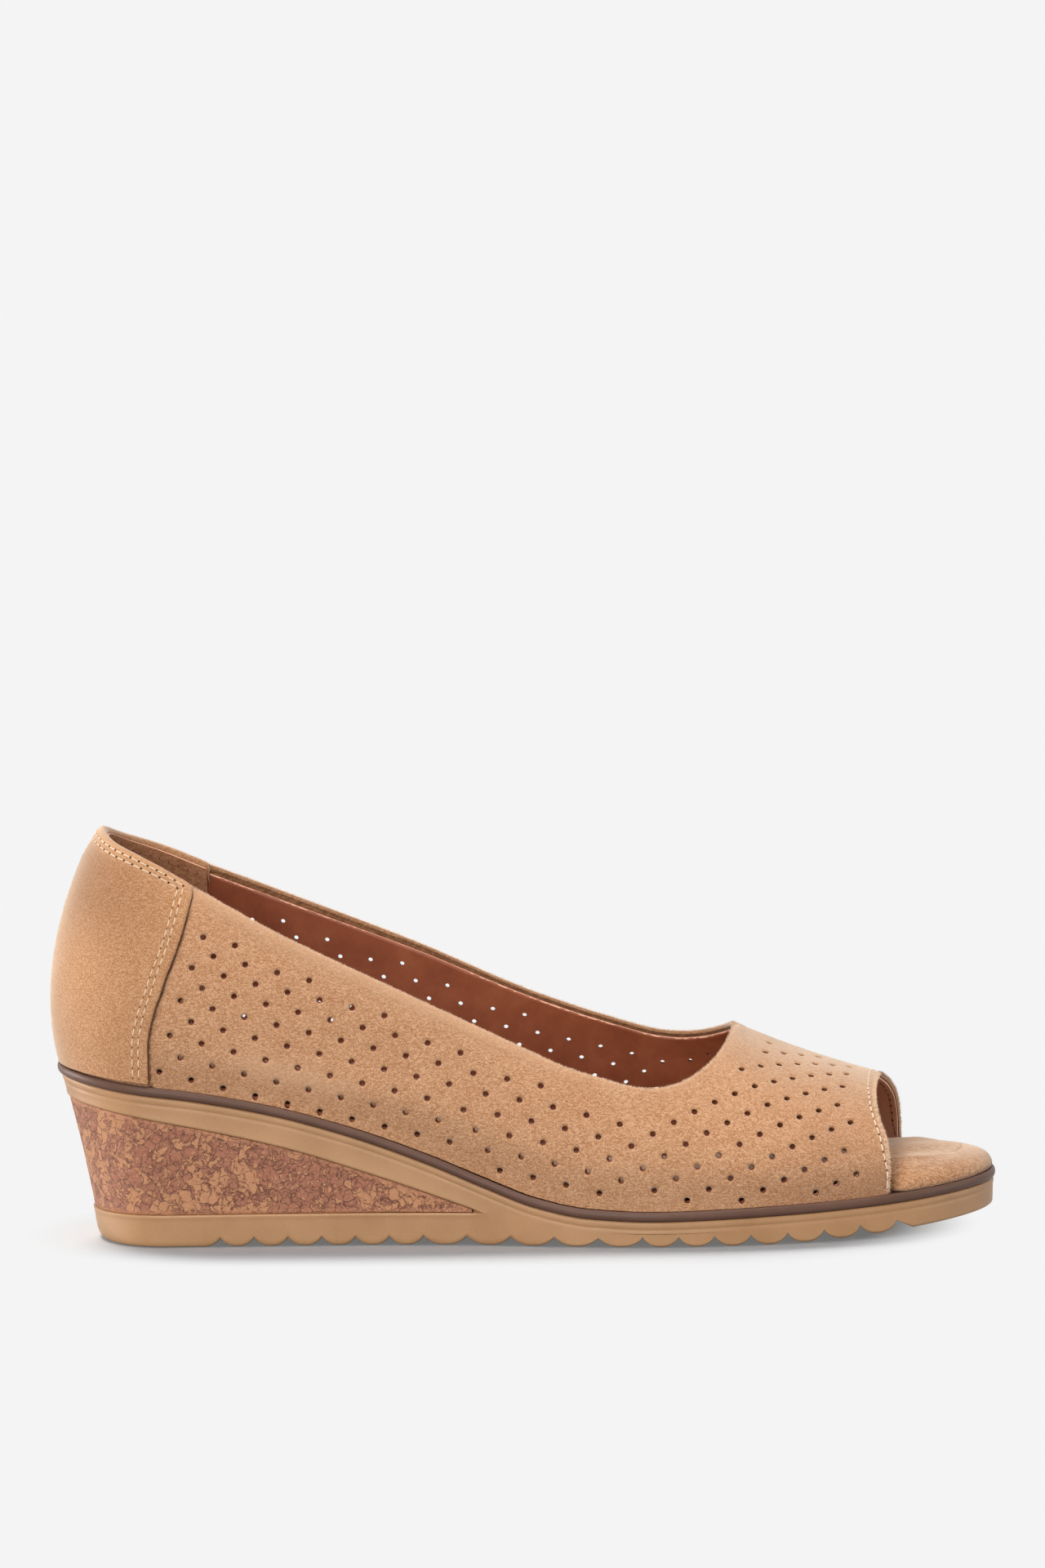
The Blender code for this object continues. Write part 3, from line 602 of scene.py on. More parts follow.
# Perforations: square-punched blocks on the flat wall, each with its first hole and its two steps
perforation = dict(
    radius=0.77,
    lip=0.4,  # width of the rim that punching presses in
    lipDepth=0.3,
    liningRadius=dict(lateral=0.66, medial=0.6),
    liningUp=0.24,  # the lining's holes sit this much higher, so suede shows at the foot of each hole
    sides=14,
    field=((20, 222), (5, 110)),  # run and height that holes are looked for in
    reach=12,  # steps each way from a block's first hole
    # run, least distance of a hole's middle
    fromCollar=dict(lateral=[(0, 7.0), (222, 7.0)], medial=[(50, 9.5), (56, 6.9)]),
    fromToe=6.2,
    fromWelt=dict(lateral=[(50, 0.85), (82, 0.85), (95, 2.0), (170, 2.0), (178, 1.4), (190, 1.4), (199, 2.0)],
                  medial=[(0, 2.0), (222, 2.0)]),
    fromCounter=2.6,
    fromRidge=2.4,
    apart=4.6,  # no two holes are nearer where blocks meet
    join=dict(lateral=107.0, medial=161.0),  # the block behind ends here
    # first hole, its two steps, how lasting has drawn run and height for ii, ij and jj, and how the holes
    # behind a run are gathered up
    rear=dict(start=(64.93, 65.88), along=(5.63, 2.97), down=(2.61, -5.16),
              drawn=((0.0, 0.011, 0.0025), (-0.063, 0.146, -0.063)), gather=(0.0, 0.0)),
    front=dict(start=(172.36, 29.24), along=(5.33, 2.80), down=(3.01, -5.89),
               drawn=((-0.054, 0.067, -0.0445), (-0.059, -0.059, -0.014)), gather=(0.0, 0.0)),
    inner=dict(start=(102.68, 61.49), along=(5.16, 3.65), down=(3.29, -4.96),
               drawn=((0.055, -0.076, 0.005), (-0.024, -0.037, -0.0155)), gather=(0.062, 84.0)),
)
# share of the way up the wall, x of the counter's front edge
counterFront = smoothLine([
    (0, 29.5), (0.17, 29.6), (0.335, 30.8), (0.486, 32.9), (0.666, 36.2), (0.814, 38.4), (1, 40.6),
])


def counterFrontAt(run, height, side):
    # the counter's front edge at a flat height, as a run
    s = np.clip(stationOf(run), 0, 45)
    low, high = heightAt(s, np.zeros_like(s), side), toplineHeight(s, side)
    share = np.clip((height - low) / (high - low), 0, 1)
    return runOf(counterFront(share))


def lineDistance(points, line):
    # nearest distance of each point to a polyline
    a, b = line[:-1], line[1:]
    way = b - a
    lengths = (way ** 2).sum(1)
    best = np.full(len(points), np.inf)
    for chunk in range(0, len(points), 2000):
        p = points[chunk:chunk + 2000, None, :] - a[None]
        share = np.clip((p * way).sum(2) / lengths, 0, 1)
        gap = np.linalg.norm(p - share[..., None] * way, axis=2)
        best[chunk:chunk + 2000] = gap.min(1)
    return best


def inside(points, loop):
    # even-odd test of points against a closed loop
    x, y = points[:, 0], points[:, 1]
    result = np.zeros(len(points), bool)
    for (ax, ay), (bx, by) in zip(loop, np.roll(loop, -1, axis=0)):
        if ay != by:
            crosses = (ay > y) != (by > y)
            result ^= crosses & (x < (bx - ax) * (y - ay) / (by - ay) + ax)
    return result


outlinePoints = dict(heelHem=58, hem=234, toe=62, ridge=46, back=72)


def flatOutline(side, drop):
    # closed outline of one half of the wall: hem, toe edge, ridge, collar and heel's back
    trim = upper["liningToe"] if drop else 0.0
    corner = collar["toeCorner"][side] - trim
    axis = shoe["heelAxis"]
    count = outlinePoints
    behind = np.linspace(0, axis, count["heelHem"])[:-1]
    hemS = np.concatenate([behind, np.linspace(axis, corner, count["hem"])])
    hem = np.column_stack([runOf(hemS), heightAt(hemS, np.zeros_like(hemS), side)])
    climbs = np.linspace(0, 1, count["toe"])
    edge = toeCut[side](climbs) - trim
    toe = np.column_stack([edge, heightAt(edge, climbs, side)])
    top = collarLine(side, drop)
    ridgeS = np.linspace(collar["toeRidge"] - trim, top[0][0], count["ridge"])
    ridge = np.column_stack([ridgeS, heightAt(ridgeS, np.ones_like(ridgeS), side)])
    back = np.linspace(top[-1][1], hem[0][1], count["back"])
    heel = np.column_stack([np.full_like(back, hem[0][0]), back])
    return dict(hem=hem, toe=toe, ridge=ridge, top=top, heel=heel)


def closedLoop(lines):
    return np.concatenate([lines[name][:-1] for name in ("hem", "toe", "ridge", "top", "heel")])


def blockPoints(block):
    p = perforation[block]
    steps = np.arange(-perforation["reach"], perforation["reach"] + 1)
    i, j = (grid.ravel() for grid in np.meshgrid(steps, steps))
    points = [
        p["start"][k] + i * p["along"][k] + j * p["down"][k]
        + np.column_stack([i * i, i * j, j * j]) @ p["drawn"][k]
        for k in (0, 1)
    ]
    points = np.column_stack(points)
    share, start = p["gather"]
    points[:, 0] += share * np.maximum(start - points[:, 0], 0)
    return points


def holeCentres(side, lines):
    # lattice points of each block that lie well inside the wall's field
    p = perforation
    join = p["join"][side]
    behind = blockPoints("rear" if side == "lateral" else "inner")
    ahead = blockPoints("front")
    points = np.concatenate([behind[behind[:, 0] < join], ahead[ahead[:, 0] >= join]])
    low, high = np.transpose(p["field"])
    points = points[((points > low) & (points < high)).all(1)]
    points = points[inside(points, closedLoop(lines))]
    clear = lineDistance(points, lines["top"]) > tableAt(points[:, 0], p["fromCollar"][side])
    clear &= lineDistance(points, lines["toe"]) > p["fromToe"]
    clear &= lineDistance(points, lines["hem"]) > tableAt(points[:, 0], p["fromWelt"][side])
    clear &= lineDistance(points, lines["ridge"]) > p["fromRidge"]
    clear &= points[:, 0] > counterFrontAt(points[:, 0], points[:, 1], side) + p["fromCounter"]
    kept = []
    for point in points[clear]:
        if all(np.hypot(*(point - other)) > p["apart"] for other in kept):
            kept.append(point)
    return np.array(kept)


def flatSheet(side, drop, step, rows, holes, ringGaps, radius):
    # one half of the wall as flat triangles, with its holes left open
    lines = flatOutline(side, drop)
    outline = closedLoop(lines)
    border = np.concatenate([outline, outline[:1]])
    turn = np.linspace(0, 2 * np.pi, perforation["sides"], endpoint=False)
    circle = np.column_stack([np.cos(turn), np.sin(turn)])
    rings = [centre + radius * circle for centre in holes]
    loose = [centre + (radius + gap) * circle for gap in ringGaps for centre in holes]
    top = lines["top"]
    inward = leftOf(unit(np.gradient(top, axis=0)))
    loose += [(top + inward * row)[2:-2] for row in rows]
    low, high = outline.min(0), outline.max(0)
    xs = np.arange(low[0], high[0], step)
    ys = np.arange(low[1], high[1], step * 0.866)  # rows of even triangles
    grid = np.array([(x + (step / 2 if k % 2 else 0), y) for k, y in enumerate(ys) for x in xs])
    grid = grid[inside(grid, outline)]
    grid = grid[lineDistance(grid, border) > step * 0.55]
    grid = grid[lineDistance(grid, top) > rows[-1] + step * 0.5]
    reach = radius + (ringGaps[-1] if ringGaps else 0) + step * 0.4
    far = np.ones(len(grid), bool)
    for centre in holes:
        far &= ((grid - centre) ** 2).sum(1) > reach ** 2
    extra = np.concatenate(loose)
    extra = extra[inside(extra, outline)]
    extra = extra[lineDistance(extra, border) > 0.12]
    points = np.concatenate([outline, *rings, extra, grid[far]])
    owner = np.full(len(points), -1)
    edges = [(i, (i + 1) % len(outline)) for i in range(len(outline))]
    at = len(outline)
    for k, ring in enumerate(rings):
        count = len(ring)
        owner[at:at + count] = k
        edges += [(at + i, at + (i + 1) % count) for i in range(count)]
        at += count
    flat, _, faces, origins, _, _ = delaunay_2d_cdt([Vector(p) for p in points], edges, [], 1, 1e-5)
    flat = np.array([tuple(p) for p in flat])
    hole = np.array([owner[o[0]] if len(o) else -1 for o in origins])
    tris = np.array([list(f) for f in faces])
    ids = hole[tris]
    punched = (ids[:, 0] >= 0) & (ids[:, 0] == ids[:, 1]) & (ids[:, 1] == ids[:, 2])
    return flat, tris[~punched], lines


def wallSheet(drop, step, rows, holes, ringGaps, radius):
    # both halves on the last, joined over the ridge and down the heel's back
    edges = dict(collarGap="top", toeGap="toe", hemGap="hem")
    parts = {name: [] for name in ("points", "normals", "flat", "tris", "side", "holeGap", *edges)}
    count = 0
    for side in sides:
        flat, tris, lines = flatSheet(side, drop, step, rows, holes[side], ringGaps, radius[side])
        s = stationOf(flat[:, 0])
        t = climbAt(s, flat[:, 1], side)
        parts["points"].append(lastPoint(s, t, side))
        parts["normals"].append(lastNormal(s, t, side))
        parts["flat"].append(flat)
        parts["side"].append(np.full(len(flat), sides[side]))
        for name, edge in edges.items():
            parts[name].append(lineDistance(flat, lines[edge]))
        gap = np.full(len(flat), 9.0)
        for centre in holes[side]:
            gap = np.minimum(gap, np.hypot(*(flat - centre).T) - radius[side])
        parts["holeGap"].append(gap)
        parts["tris"].append((tris if side == "lateral" else tris[:, ::-1]) + count)
        count += len(flat)
    sheet = {name: np.concatenate(values) for name, values in parts.items()}
    _, faces, first = weld(sheet["points"], sheet["tris"], near=0.02)
    for name in sheet:
        if name != "tris":
            sheet[name] = sheet[name][first]
    sheet["tris"] = np.array([face for face in faces if len(face) == 3])
    return sheet


def wallFaces(count, tris, holeGap=None):
    # outer skin, inner skin, the rim between them and, told apart, the rims of holes
    directed = np.concatenate([tris[:, [0, 1]], tris[:, [1, 2]], tris[:, [2, 0]]])
    low, high = directed.min(1), directed.max(1)
    key = low * count + high
    values, times = np.unique(key, return_counts=True)
    border = directed[np.isin(key, values[times == 1])]
    rim = np.column_stack([border[:, 1], border[:, 0], border[:, 0] + count, border[:, 1] + count])
    faces = [*tris.tolist(), *(tris[:, ::-1] + count).tolist(), *rim.tolist()]
    slots = np.repeat([0, 1, 2], [len(tris), len(tris), len(rim)])
    if holeGap is not None:
        slots[2 * len(tris):][holeGap[border].max(1) < 0.05] = 3
    return faces, slots


# Upper: suede outside with a turned collar, leather lining inside, both punched through
upper = dict(
    suede=1.15,
    wall=1.9,
    gridStep=1.5,
    holeRings=(0.3, 0.75),  # extra points round each hole
    collarRows=(0.14, 0.32, 0.6, 1.0, 1.6, 2.3, 3.0, 3.8),
    collarRoll=0.85,
    rollShare=0.65,  # of that roll, on each skin
    collarWelt=2.9,  # width of the doubled suede at the collar
    weltFade=(-0.8, 0.9),
    doubled=0.22,  # how far that stands out
    turnedLitShare=0.32,  # share of the lining's drop where the turned suede keeps the upper's lit colour, above the copy in painted shade
    hemTurn=[(0, 0.2), (32, 0.2), (60, 0.5), (90, 0.9), (112, 1.3), (135, 1.0), (165, 0.7), (195, 0.4),
             (222, 0.1)],
    hemTurnFrom=12.0,
    hemTuck=0.45,  # the hem dips into the welt's crease
    hemTuckFrom=1.2,
    toeRoll=0.3,
    toeTurned=0.5,
    toeBevel=0.2,  # the suede's inner edge at the toe lies this far behind the outer
    toeBevelFrom=2.6,
    toeStitch=1.7,  # the stitches draw the suede in here
    stitchPull=0.25,
    stitchPullWidth=0.6,
    counterPinch=1.05,  # the suede is drawn in by the counter's edge
    pinchWidth=1.7,
    pinchAhead=0.3,
    liningDrop=2.1,  # the lining's cut edge below the collar
    liningStep=2.3,
    liningRows=(0.12, 0.4, 0.8),
    liningGap=0.06,
    liningRoll=0.4,
    liningThinned=0.35,  # at its cut edge
    liningCut=0.15,  # width of that edge's pale line, partly the edge's own colour and partly a painted highlight
    liningToe=0.35,  # the lining stops short of the toe's edge
    toeGap=0.22,  # and stands a little off the suede there
    toeGapFade=(0.3, 3.0),
    toeLiningLight=(192.0, 206.0),  # painted light makes the lining paler between these runs, towards the open toe
    highlightStrength=0.7,  # painted highlight along the collar
    highlightWidth=3.4,
    throatHighlightCut=0.8,  # that much less at the throat
    throatFrom=(115.0, 150.0),
    # run, painted shade low down on the wall
    hemShade=[(30, 0.2), (44, 0.14), (58, 0.0), (180, 0.0), (203, 0.26), (222, 0.32)],
    hemShadeFade=(1.0, 11.0),
    grooveShade=0.2,  # painted shadow along the counter's edge
    grooveAhead=0.2,
    grooveWidth=0.75,
    rimShade=0.45,  # painted shade on the far collar's rim
    rimShadeFade=(0.2, 1.6),
    # creases fade out towards the collar, the hem, which they reach nearer, and the toe
    settleFrom=(1.0, 9.0),
    settleHem=2.0,
    settleLining=(0.0, 8.0),
    settleToe=(0.5, 6.0),
    # soft creases: start run, start height, end run, end height, half width, depth (up is a ridge)
    creases=[
        (48, 47.0, 98, 36.0, 5.5, 0.55),
        (42, 41.0, 96, 28.0, 4.0, -0.1),
        (66, 60.0, 112, 38.0, 7.0, -0.35),
        (92, 44.0, 128, 24.0, 6.0, 0.35),
        (140, 35.0, 176, 38.0, 6.0, -0.30),
        (150, 20.0, 205, 22.0, 7.0, 0.30),
        (181, 52.0, 190, 34.0, 5.0, 0.30),
    ],
    # the same for painted highlight and painted shade, on the lateral side
    highlightStrokes=[(50, 48.5, 80, 40.0, 3.6, 0.5)],
    shadeStrokes=[(196, 27.0, 213, 24.0, 8.0, 0.13)],
    waviness=0.22,
    waveLength=17.0,
)


def strokes(flat, rows, ends=0.15):
    # soft strokes on the flat wall, added up, each weaker towards its ends
    total = np.zeros(len(flat))
    for x0, h0, x1, h1, width, depth in rows:
        a, way = np.array([x0, h0]), np.array([x1 - x0, h1 - h0])
        share = ((flat - a) @ way / (way @ way)).clip(0, 1)
        gap = np.linalg.norm(flat - a - share[:, None] * way, axis=1)
        total += depth * np.exp(-(gap / width) ** 2) * np.sin(np.pi * (ends + (1 - 2 * ends) * share))
    return total


def creaseShift(flat, points):
    # the listed troughs and ridges, and the slow unevenness of lasted cloth
    slow = [noise.noise(Vector(p / upper["waveLength"])) for p in points]
    return strokes(flat, upper["creases"]) + upper["waviness"] * np.array(slow)


def hemShift(sheet):
    # the wall leans in to the welt, most at the waist and least at the heel, where the counter holds it
    turn = tableAt(sheet["flat"][:, 0], upper["hemTurn"])
    return turn * (1 - ease(0.0, upper["hemTurnFrom"], sheet["hemGap"]))


def roll(gap, radius):
    # how far a rounded edge drops, from its rim inwards
    short = np.clip(radius - gap, 0, radius)
    return radius - np.sqrt(np.maximum(radius ** 2 - short ** 2, 0))


holes = {side: holeCentres(side, flatOutline(side, 0.0)) for side in sides}
print("perforations:", {side: len(points) for side, points in holes.items()})


def skins(sheet, outer, inner):
    # the sheet's points lifted to its outer skin and to its inner
    return [sheet["points"] + sheet["normals"] * lift[:, None] for lift in (outer, inner)]


def makeUpper():
    u = upper
    radius = dict.fromkeys(sides, perforation["radius"])
    sheet = wallSheet(0.0, u["gridStep"], u["collarRows"], holes, u["holeRings"], radius)
    gap, toeGap, hemGap = sheet["collarGap"], sheet["toeGap"], sheet["hemGap"]
    run, height = sheet["flat"].T
    lateral = sheet["side"] < 0
    settle = ease(*u["settleFrom"], np.minimum(gap, hemGap + u["settleHem"])) * ease(*u["settleToe"], toeGap)
    moved = creaseShift(sheet["flat"], sheet["points"]) * settle - hemShift(sheet)
    doubled = u["doubled"] * (1 - ease(*(u["collarWelt"] + fade for fade in u["weltFade"]), gap))
    stitchPull = u["stitchPull"] * np.exp(-((toeGap - u["toeStitch"]) / u["stitchPullWidth"]) ** 2)
    lip = perforation["lipDepth"] * (1 - ease(0.0, perforation["lip"], sheet["holeGap"]))
    fold = roll(gap, u["collarRoll"]) * u["rollShare"]
    front = np.where(lateral, *(counterFrontAt(run, height, side) for side in sides))
    ahead = run - front
    pinch = u["counterPinch"] * np.clip(1 - np.abs(ahead - u["pinchAhead"]) / u["pinchWidth"], 0, 1) ** 2
    outer = moved + doubled - stitchPull - lip - pinch - fold - roll(toeGap, u["toeRoll"])
    sheet["points"][:, 2] -= u["hemTuck"] * (1 - ease(0.0, u["hemTuckFrom"], hemGap))
    verts = skins(sheet, outer, moved - u["suede"] + fold)
    verts[1][:, 0] -= u["toeBevel"] * (1 - ease(0.0, u["toeBevelFrom"], toeGap))
    tris = sheet["tris"]
    faces, slots = wallFaces(len(run), tris, sheet["holeGap"])
    # the inner skin takes the copy in painted shade, except over the collar roll's top and at the toe's
    # turned edge
    turned = u["turnedLitShare"] * u["liningDrop"] * throatShare(run)
    rolled = ((gap - turned)[tris].max(1) < 0) | (toeGap[tris].max(1) < u["toeTurned"])
    slots[len(tris):2 * len(tris)][rolled] = 0
    materials = [suede, shadedTurnedCloth, suede, punchedEdge]
    piece = newPiece("upperSuede", np.concatenate(verts), faces, materials, slots, "upper_suede", "upper")
    # painted highlight along the collar, less at the throat, and in pale strokes, on the lateral side only
    paintedShading = u["highlightStrength"] * np.exp(-(gap / u["highlightWidth"]) ** 2)
    paintedShading *= 1 - u["throatHighlightCut"] * ease(*u["throatFrom"], run)
    paintedShading = np.where(lateral, np.maximum(paintedShading, strokes(sheet["flat"], u["highlightStrokes"])), 0.0)
    paint(piece, "paintedHighlight", [paintedShading, 0 * paintedShading])
    # painted shade low on the wall, along the counter's edge and in dark strokes on the lateral side, and on
    # the medial collar's rim
    dark = tableAt(run, u["hemShade"]) * (1 - ease(*u["hemShadeFade"], hemGap))
    groove = u["grooveShade"] * np.exp(-((ahead - u["grooveAhead"]) / u["grooveWidth"]) ** 2)
    dark = np.maximum(dark, groove) + np.where(lateral, strokes(sheet["flat"], u["shadeStrokes"]), 0.0)
    rim = u["rimShade"] * (1 - ease(*u["rimShadeFade"], gap))
    paint(piece, "shade", np.tile(np.maximum(dark, np.where(lateral, 0.0, rim)), 2))


def makeLining():
    u = upper
    punched = {side: centres + (0.0, perforation["liningUp"]) for side, centres in holes.items()}
    radius = perforation["liningRadius"]
    sheet = wallSheet(u["liningDrop"], u["liningStep"], u["liningRows"], punched, (), radius)
    gap, toeGap = sheet["collarGap"], sheet["toeGap"]
    settle = ease(*u["settleLining"], np.minimum(gap, sheet["hemGap"])) * ease(*u["settleToe"], toeGap)
    moved = creaseShift(sheet["flat"], sheet["points"]) * settle - hemShift(sheet)
    outer = moved - u["suede"] - u["liningGap"] - u["toeGap"] * (1 - ease(*u["toeGapFade"], toeGap))
    inner = moved - u["wall"] + u["liningThinned"] * roll(gap, u["liningRoll"]) / u["liningRoll"]
    tris = sheet["tris"]
    faces, slots = wallFaces(len(gap), tris, sheet["holeGap"])
    # a strip of the inner skin along the cut edge takes the pale edge leather, partly a painted highlight
    slots[len(tris):2 * len(tris)][gap[tris].max(1) < u["liningCut"]] = 2
    materials = [leather, leather, leatherEdge, punchedEdge]
    verts = np.concatenate(skins(sheet, outer, inner))
    piece = newPiece("upperLining", verts, faces, materials, slots, "upper_suede")
    paint(piece, "paintedToeLight", np.tile(ease(*u["toeLiningLight"], sheet["flat"][:, 0]), 2))


fuzzSizes = dict(
    perMm=26,
    deep=1.0,  # roots lie up to this far from the edge, most of them near it
    nearest=0.05,
    nearPower=1.5,
    sunk=0.1,
    long=(0.3, 0.62),
    wide=0.11,
    sway=0.5,  # along the edge
    outward=0.8,  # share of its length that a fibre goes past the edge
    upward=0.35,  # and off the cloth
    twist=0.25,
    seed=7,
)


def makeFuzz():
    # short fibres that stand off the turned collar and the toe's edge, each a thin blade
    dice = np.random.default_rng(fuzzSizes["seed"])
    roots, ways, faced = [], [], []
    for side in sides:
        lines = flatOutline(side, 0.0)
        for name in ("top", "toe"):
            line = lines[name]
            lengths = wayAlong(line)
            count = int(lengths[-1] * fuzzSizes["perMm"])
            at = dice.uniform(0, lengths[-1], count)
            place = np.column_stack([np.interp(at, lengths, line[:, k]) for k in (0, 1)])
            slopes = np.gradient(line, lengths, axis=0)
            way = unit(np.column_stack([np.interp(at, lengths, slopes[:, k]) for k in (0, 1)]))
            inward = leftOf(way)
            deep = fuzzSizes["deep"] * dice.uniform(fuzzSizes["nearest"], 1, count) ** fuzzSizes["nearPower"]
            flat = place + inward * deep[:, None]
            lean = way * dice.normal(0, fuzzSizes["sway"], (count, 1)) - inward
            lift = -roll(deep, upper["toeRoll"])
            if name == "top":
                lift = upper["doubled"] - roll(deep, upper["collarRoll"]) * upper["rollShare"]
            reach = dice.uniform(*fuzzSizes["long"], count)
            roots.append(wallPoint(*flat.T, side, lift - fuzzSizes["sunk"]))
            tips = flat + lean * reach[:, None] * fuzzSizes["outward"]
            ways.append(wallPoint(*tips.T, side, lift + reach * fuzzSizes["upward"]) - roots[-1])
            station = stationOf(flat[:, 0])
            faced.append(lastNormal(station, climbAt(station, flat[:, 1], side), side))
    roots, ways, faced = (np.concatenate(part) for part in (roots, ways, faced))
    across = np.cross(ways, faced + dice.normal(0, fuzzSizes["twist"], ways.shape))
    across *= fuzzSizes["wide"] / 2 / np.linalg.norm(across, axis=1, keepdims=True)
    verts = np.stack([roots - across, roots + across, roots + ways], axis=1).reshape(-1, 3)
    newPiece("suedeFuzz", verts, np.arange(len(verts)).reshape(-1, 3), [fuzz], None, "upper_suede")


makeUpper()
makeLining()
makeFuzz()
print("upper and lining made")

# Heel counter: an overlay whose thinned top is folded over the collar
counter = dict(
    foot=0.008,  # climb at its lower edge
    out=1.4,  # its face above the upper's
    topOut=0.75,  # the same at the top, where it is skived
    skive=(1.0, 9.0),  # that thinning starts and ends this far below the topline
    back=0.3,
    foldCentre=0.9,  # below the topline
    foldUp=1.35,
    foldIn=-2.1,
    foldThick=0.3,
    foldBack=(-0.45, 0.75),  # middle and reach of the fold's inner skin
    tail=3.2,  # the fold's end inside, below the topline
    tailDrops=(0.6, 1.2),  # rows on the way there
    tailBack=-1.5,
    cornerRound=1.6,
    highlightStrength=0.28,  # painted highlight along the lateral topline
    highlightWidth=0.05667,  # as a share of the counter's height
    highlightEnd=(-0.1, 0.1),  # round the heel's back, where that ends
    brushMarksAndPaintedShade=0.42,  # and painted shade high at the back
    paintedShadeUp=(0.4, 0.8, 0.93, 1.0),  # shares of the height where that starts, is full, fades and ends
    paintedShadeRound=(0.35, 1.0),
    foldShade=0.35,  # painted shade on the fold's inner half on the far side
    foldCrest=7,  # rows from the body to the fold's crest
    foldSteps=13,
    bodyRows=34,
    columns=64,
    edge=(0.0, 0.12, 0.35, 0.7),
    edgeDrop=(0.5, 0.2, 0.05, 0.0),
    stitchFromTop=1.3,
    stitchFromFront=2.2,
    rowGap=1.55,
)


def counterOut(drop):
    return counter["topOut"] + (counter["out"] - counter["topOut"]) * ease(*counter["skive"], drop)


def counterRows():
    # share of the body, rise of the fold's two skins over it, their lifts, from the welt over the fold
    rows = [(share, None, None, counter["back"]) for share in np.linspace(0, 1, counter["bodyRows"])]
    top = float(counterOut(counter["foldCentre"]))
    middle, reach = (top + counter["foldIn"]) / 2, (top - counter["foldIn"]) / 2
    backMiddle, backReach = counter["foldBack"]
    upOut, upIn = counter["foldUp"], counter["foldUp"] - counter["foldThick"]
    for angle in np.linspace(0, np.pi, counter["foldSteps"])[1:]:
        rises = upOut * math.sin(angle), upIn * math.sin(angle)
        rows.append((1.0, rises, middle + reach * math.cos(angle), backMiddle + backReach * math.cos(angle)))
    for drop in (*counter["tailDrops"], counter["tail"] - counter["foldCentre"]):
        rows.append((1.0, (-drop, -drop), counter["foldIn"], counter["tailBack"]))
    return rows


def stripFaces(loop, half):
    # faces of a band whose rows run out along one skin and back along the other, its two ends closed
    columns = len(loop[0])
    faces = gridFaces(len(loop), columns, closeRows=True)
    for end, turn in ((0, 1), (columns - 1, -1)):
        for i in range(half - 1):
            j = len(loop) - 1 - i
            quad = (i * columns + end, (i + 1) * columns + end, (j - 1) * columns + end, j * columns + end)
            faces.append(quad[::turn])
    return faces


def joinHalves(halves):
    # lateral lines out, medial lines back, each pair as one line
    return [np.concatenate([out, back[::-1][1:]]) for out, back in zip(*halves)]


def makeCounter():
    rows = counterRows()
    outerRows, innerRows = [], []
    for share, over, outLift, backLift in rows:
        halves = []
        for side in sides:
            front = float(counterFront(share))
            slack = np.concatenate([counter["edge"], np.linspace(1.1, front, counter["columns"] - 4)])
            s = front - slack
            low = heightAt(s, np.full_like(s, counter["foot"]), side) - upper["hemTuck"]
            high = toplineHeight(s, side) - counter["foldCentre"] - roll(slack, counter["cornerRound"])
            height = low + (high - low) * share
            lift = np.full_like(s, outLift) if over else counterOut(high + counter["foldCentre"] - height)
            lift[:4] -= counter["edgeDrop"]
            upOut, upIn = over or (0.0, 0.0)
            outerLine = wallPoint(runOf(s), height + upOut, side, lift)
            innerLine = wallPoint(runOf(s), height + upIn, side, np.full_like(s, backLift))
            halves.append((outerLine, innerLine))
        outerRow, innerRow = joinHalves(halves)
        outerRows.append(outerRow)
        innerRows.append(innerRow)
    loop = outerRows + innerRows[::-1]
    faces = stripFaces(loop, len(rows))
    slots = np.zeros(len(faces), int)
    # the counter's cut ends take the darker edge suede, partly painted shade along its edge
    slots[len(loop) * (len(loop[0]) - 1):] = 1
    cloths = [counterCloth, punchedEdge]
    verts = np.concatenate(loop)
    piece = newPiece("heelCounter", verts, faces, cloths, slots, "counter_suede", "heel_counter")
    up = np.array([row[0] for row in rows])
    around = np.linspace(-1, 1, len(loop[0]))
    inFold = np.arange(len(rows)) >= counter["bodyRows"] + counter["foldCrest"]
    # painted highlight along the lateral topline, fading round the heel's back
    paintedShading = counter["highlightStrength"] * np.exp(-((1 - up) / counter["highlightWidth"]) ** 2) * ~inFold
    paintedShading = paintedShading[:, None] * (1 - ease(*counter["highlightEnd"], around))
    paint(piece, "paintedHighlight", [paintedShading, 0 * paintedShading])
    # painted shade high at the back, and on the fold's inner half on the far side
    start, full, fades, end = counter["paintedShadeUp"]
    dark = counter["brushMarksAndPaintedShade"] * ease(start, full, up) * (1 - ease(fades, end, up))
    dark = dark[:, None] * (1 - ease(*counter["paintedShadeRound"], np.abs(around)))
    dark += counter["foldShade"] * inFold[:, None] * (around > 0)
    paint(piece, "shade", [dark, dark[::-1]])


makeCounter()

# Heel grip: a suede patch inside the heel, over lining and fold, its cut edge pale, partly its own colour and
# partly a painted highlight
grip = dict(
    front=39.8,
    fromTop=0.7,
    under=2.15,  # its back below the upper's face
    thickness=0.6,
    foot=0.09,  # climb at its lower edge
    seamInset=2.4,
    rows=34,
    rowPower=1.4,  # rows lie closer near the top
    columns=60,
    edgeColumns=(0.2, 0.5),  # behind the front edge
)


def gripLine(s, height, side, lift):
    return wallPoint(runOf(s), height, side, np.full_like(s, -grip["under"] - lift))


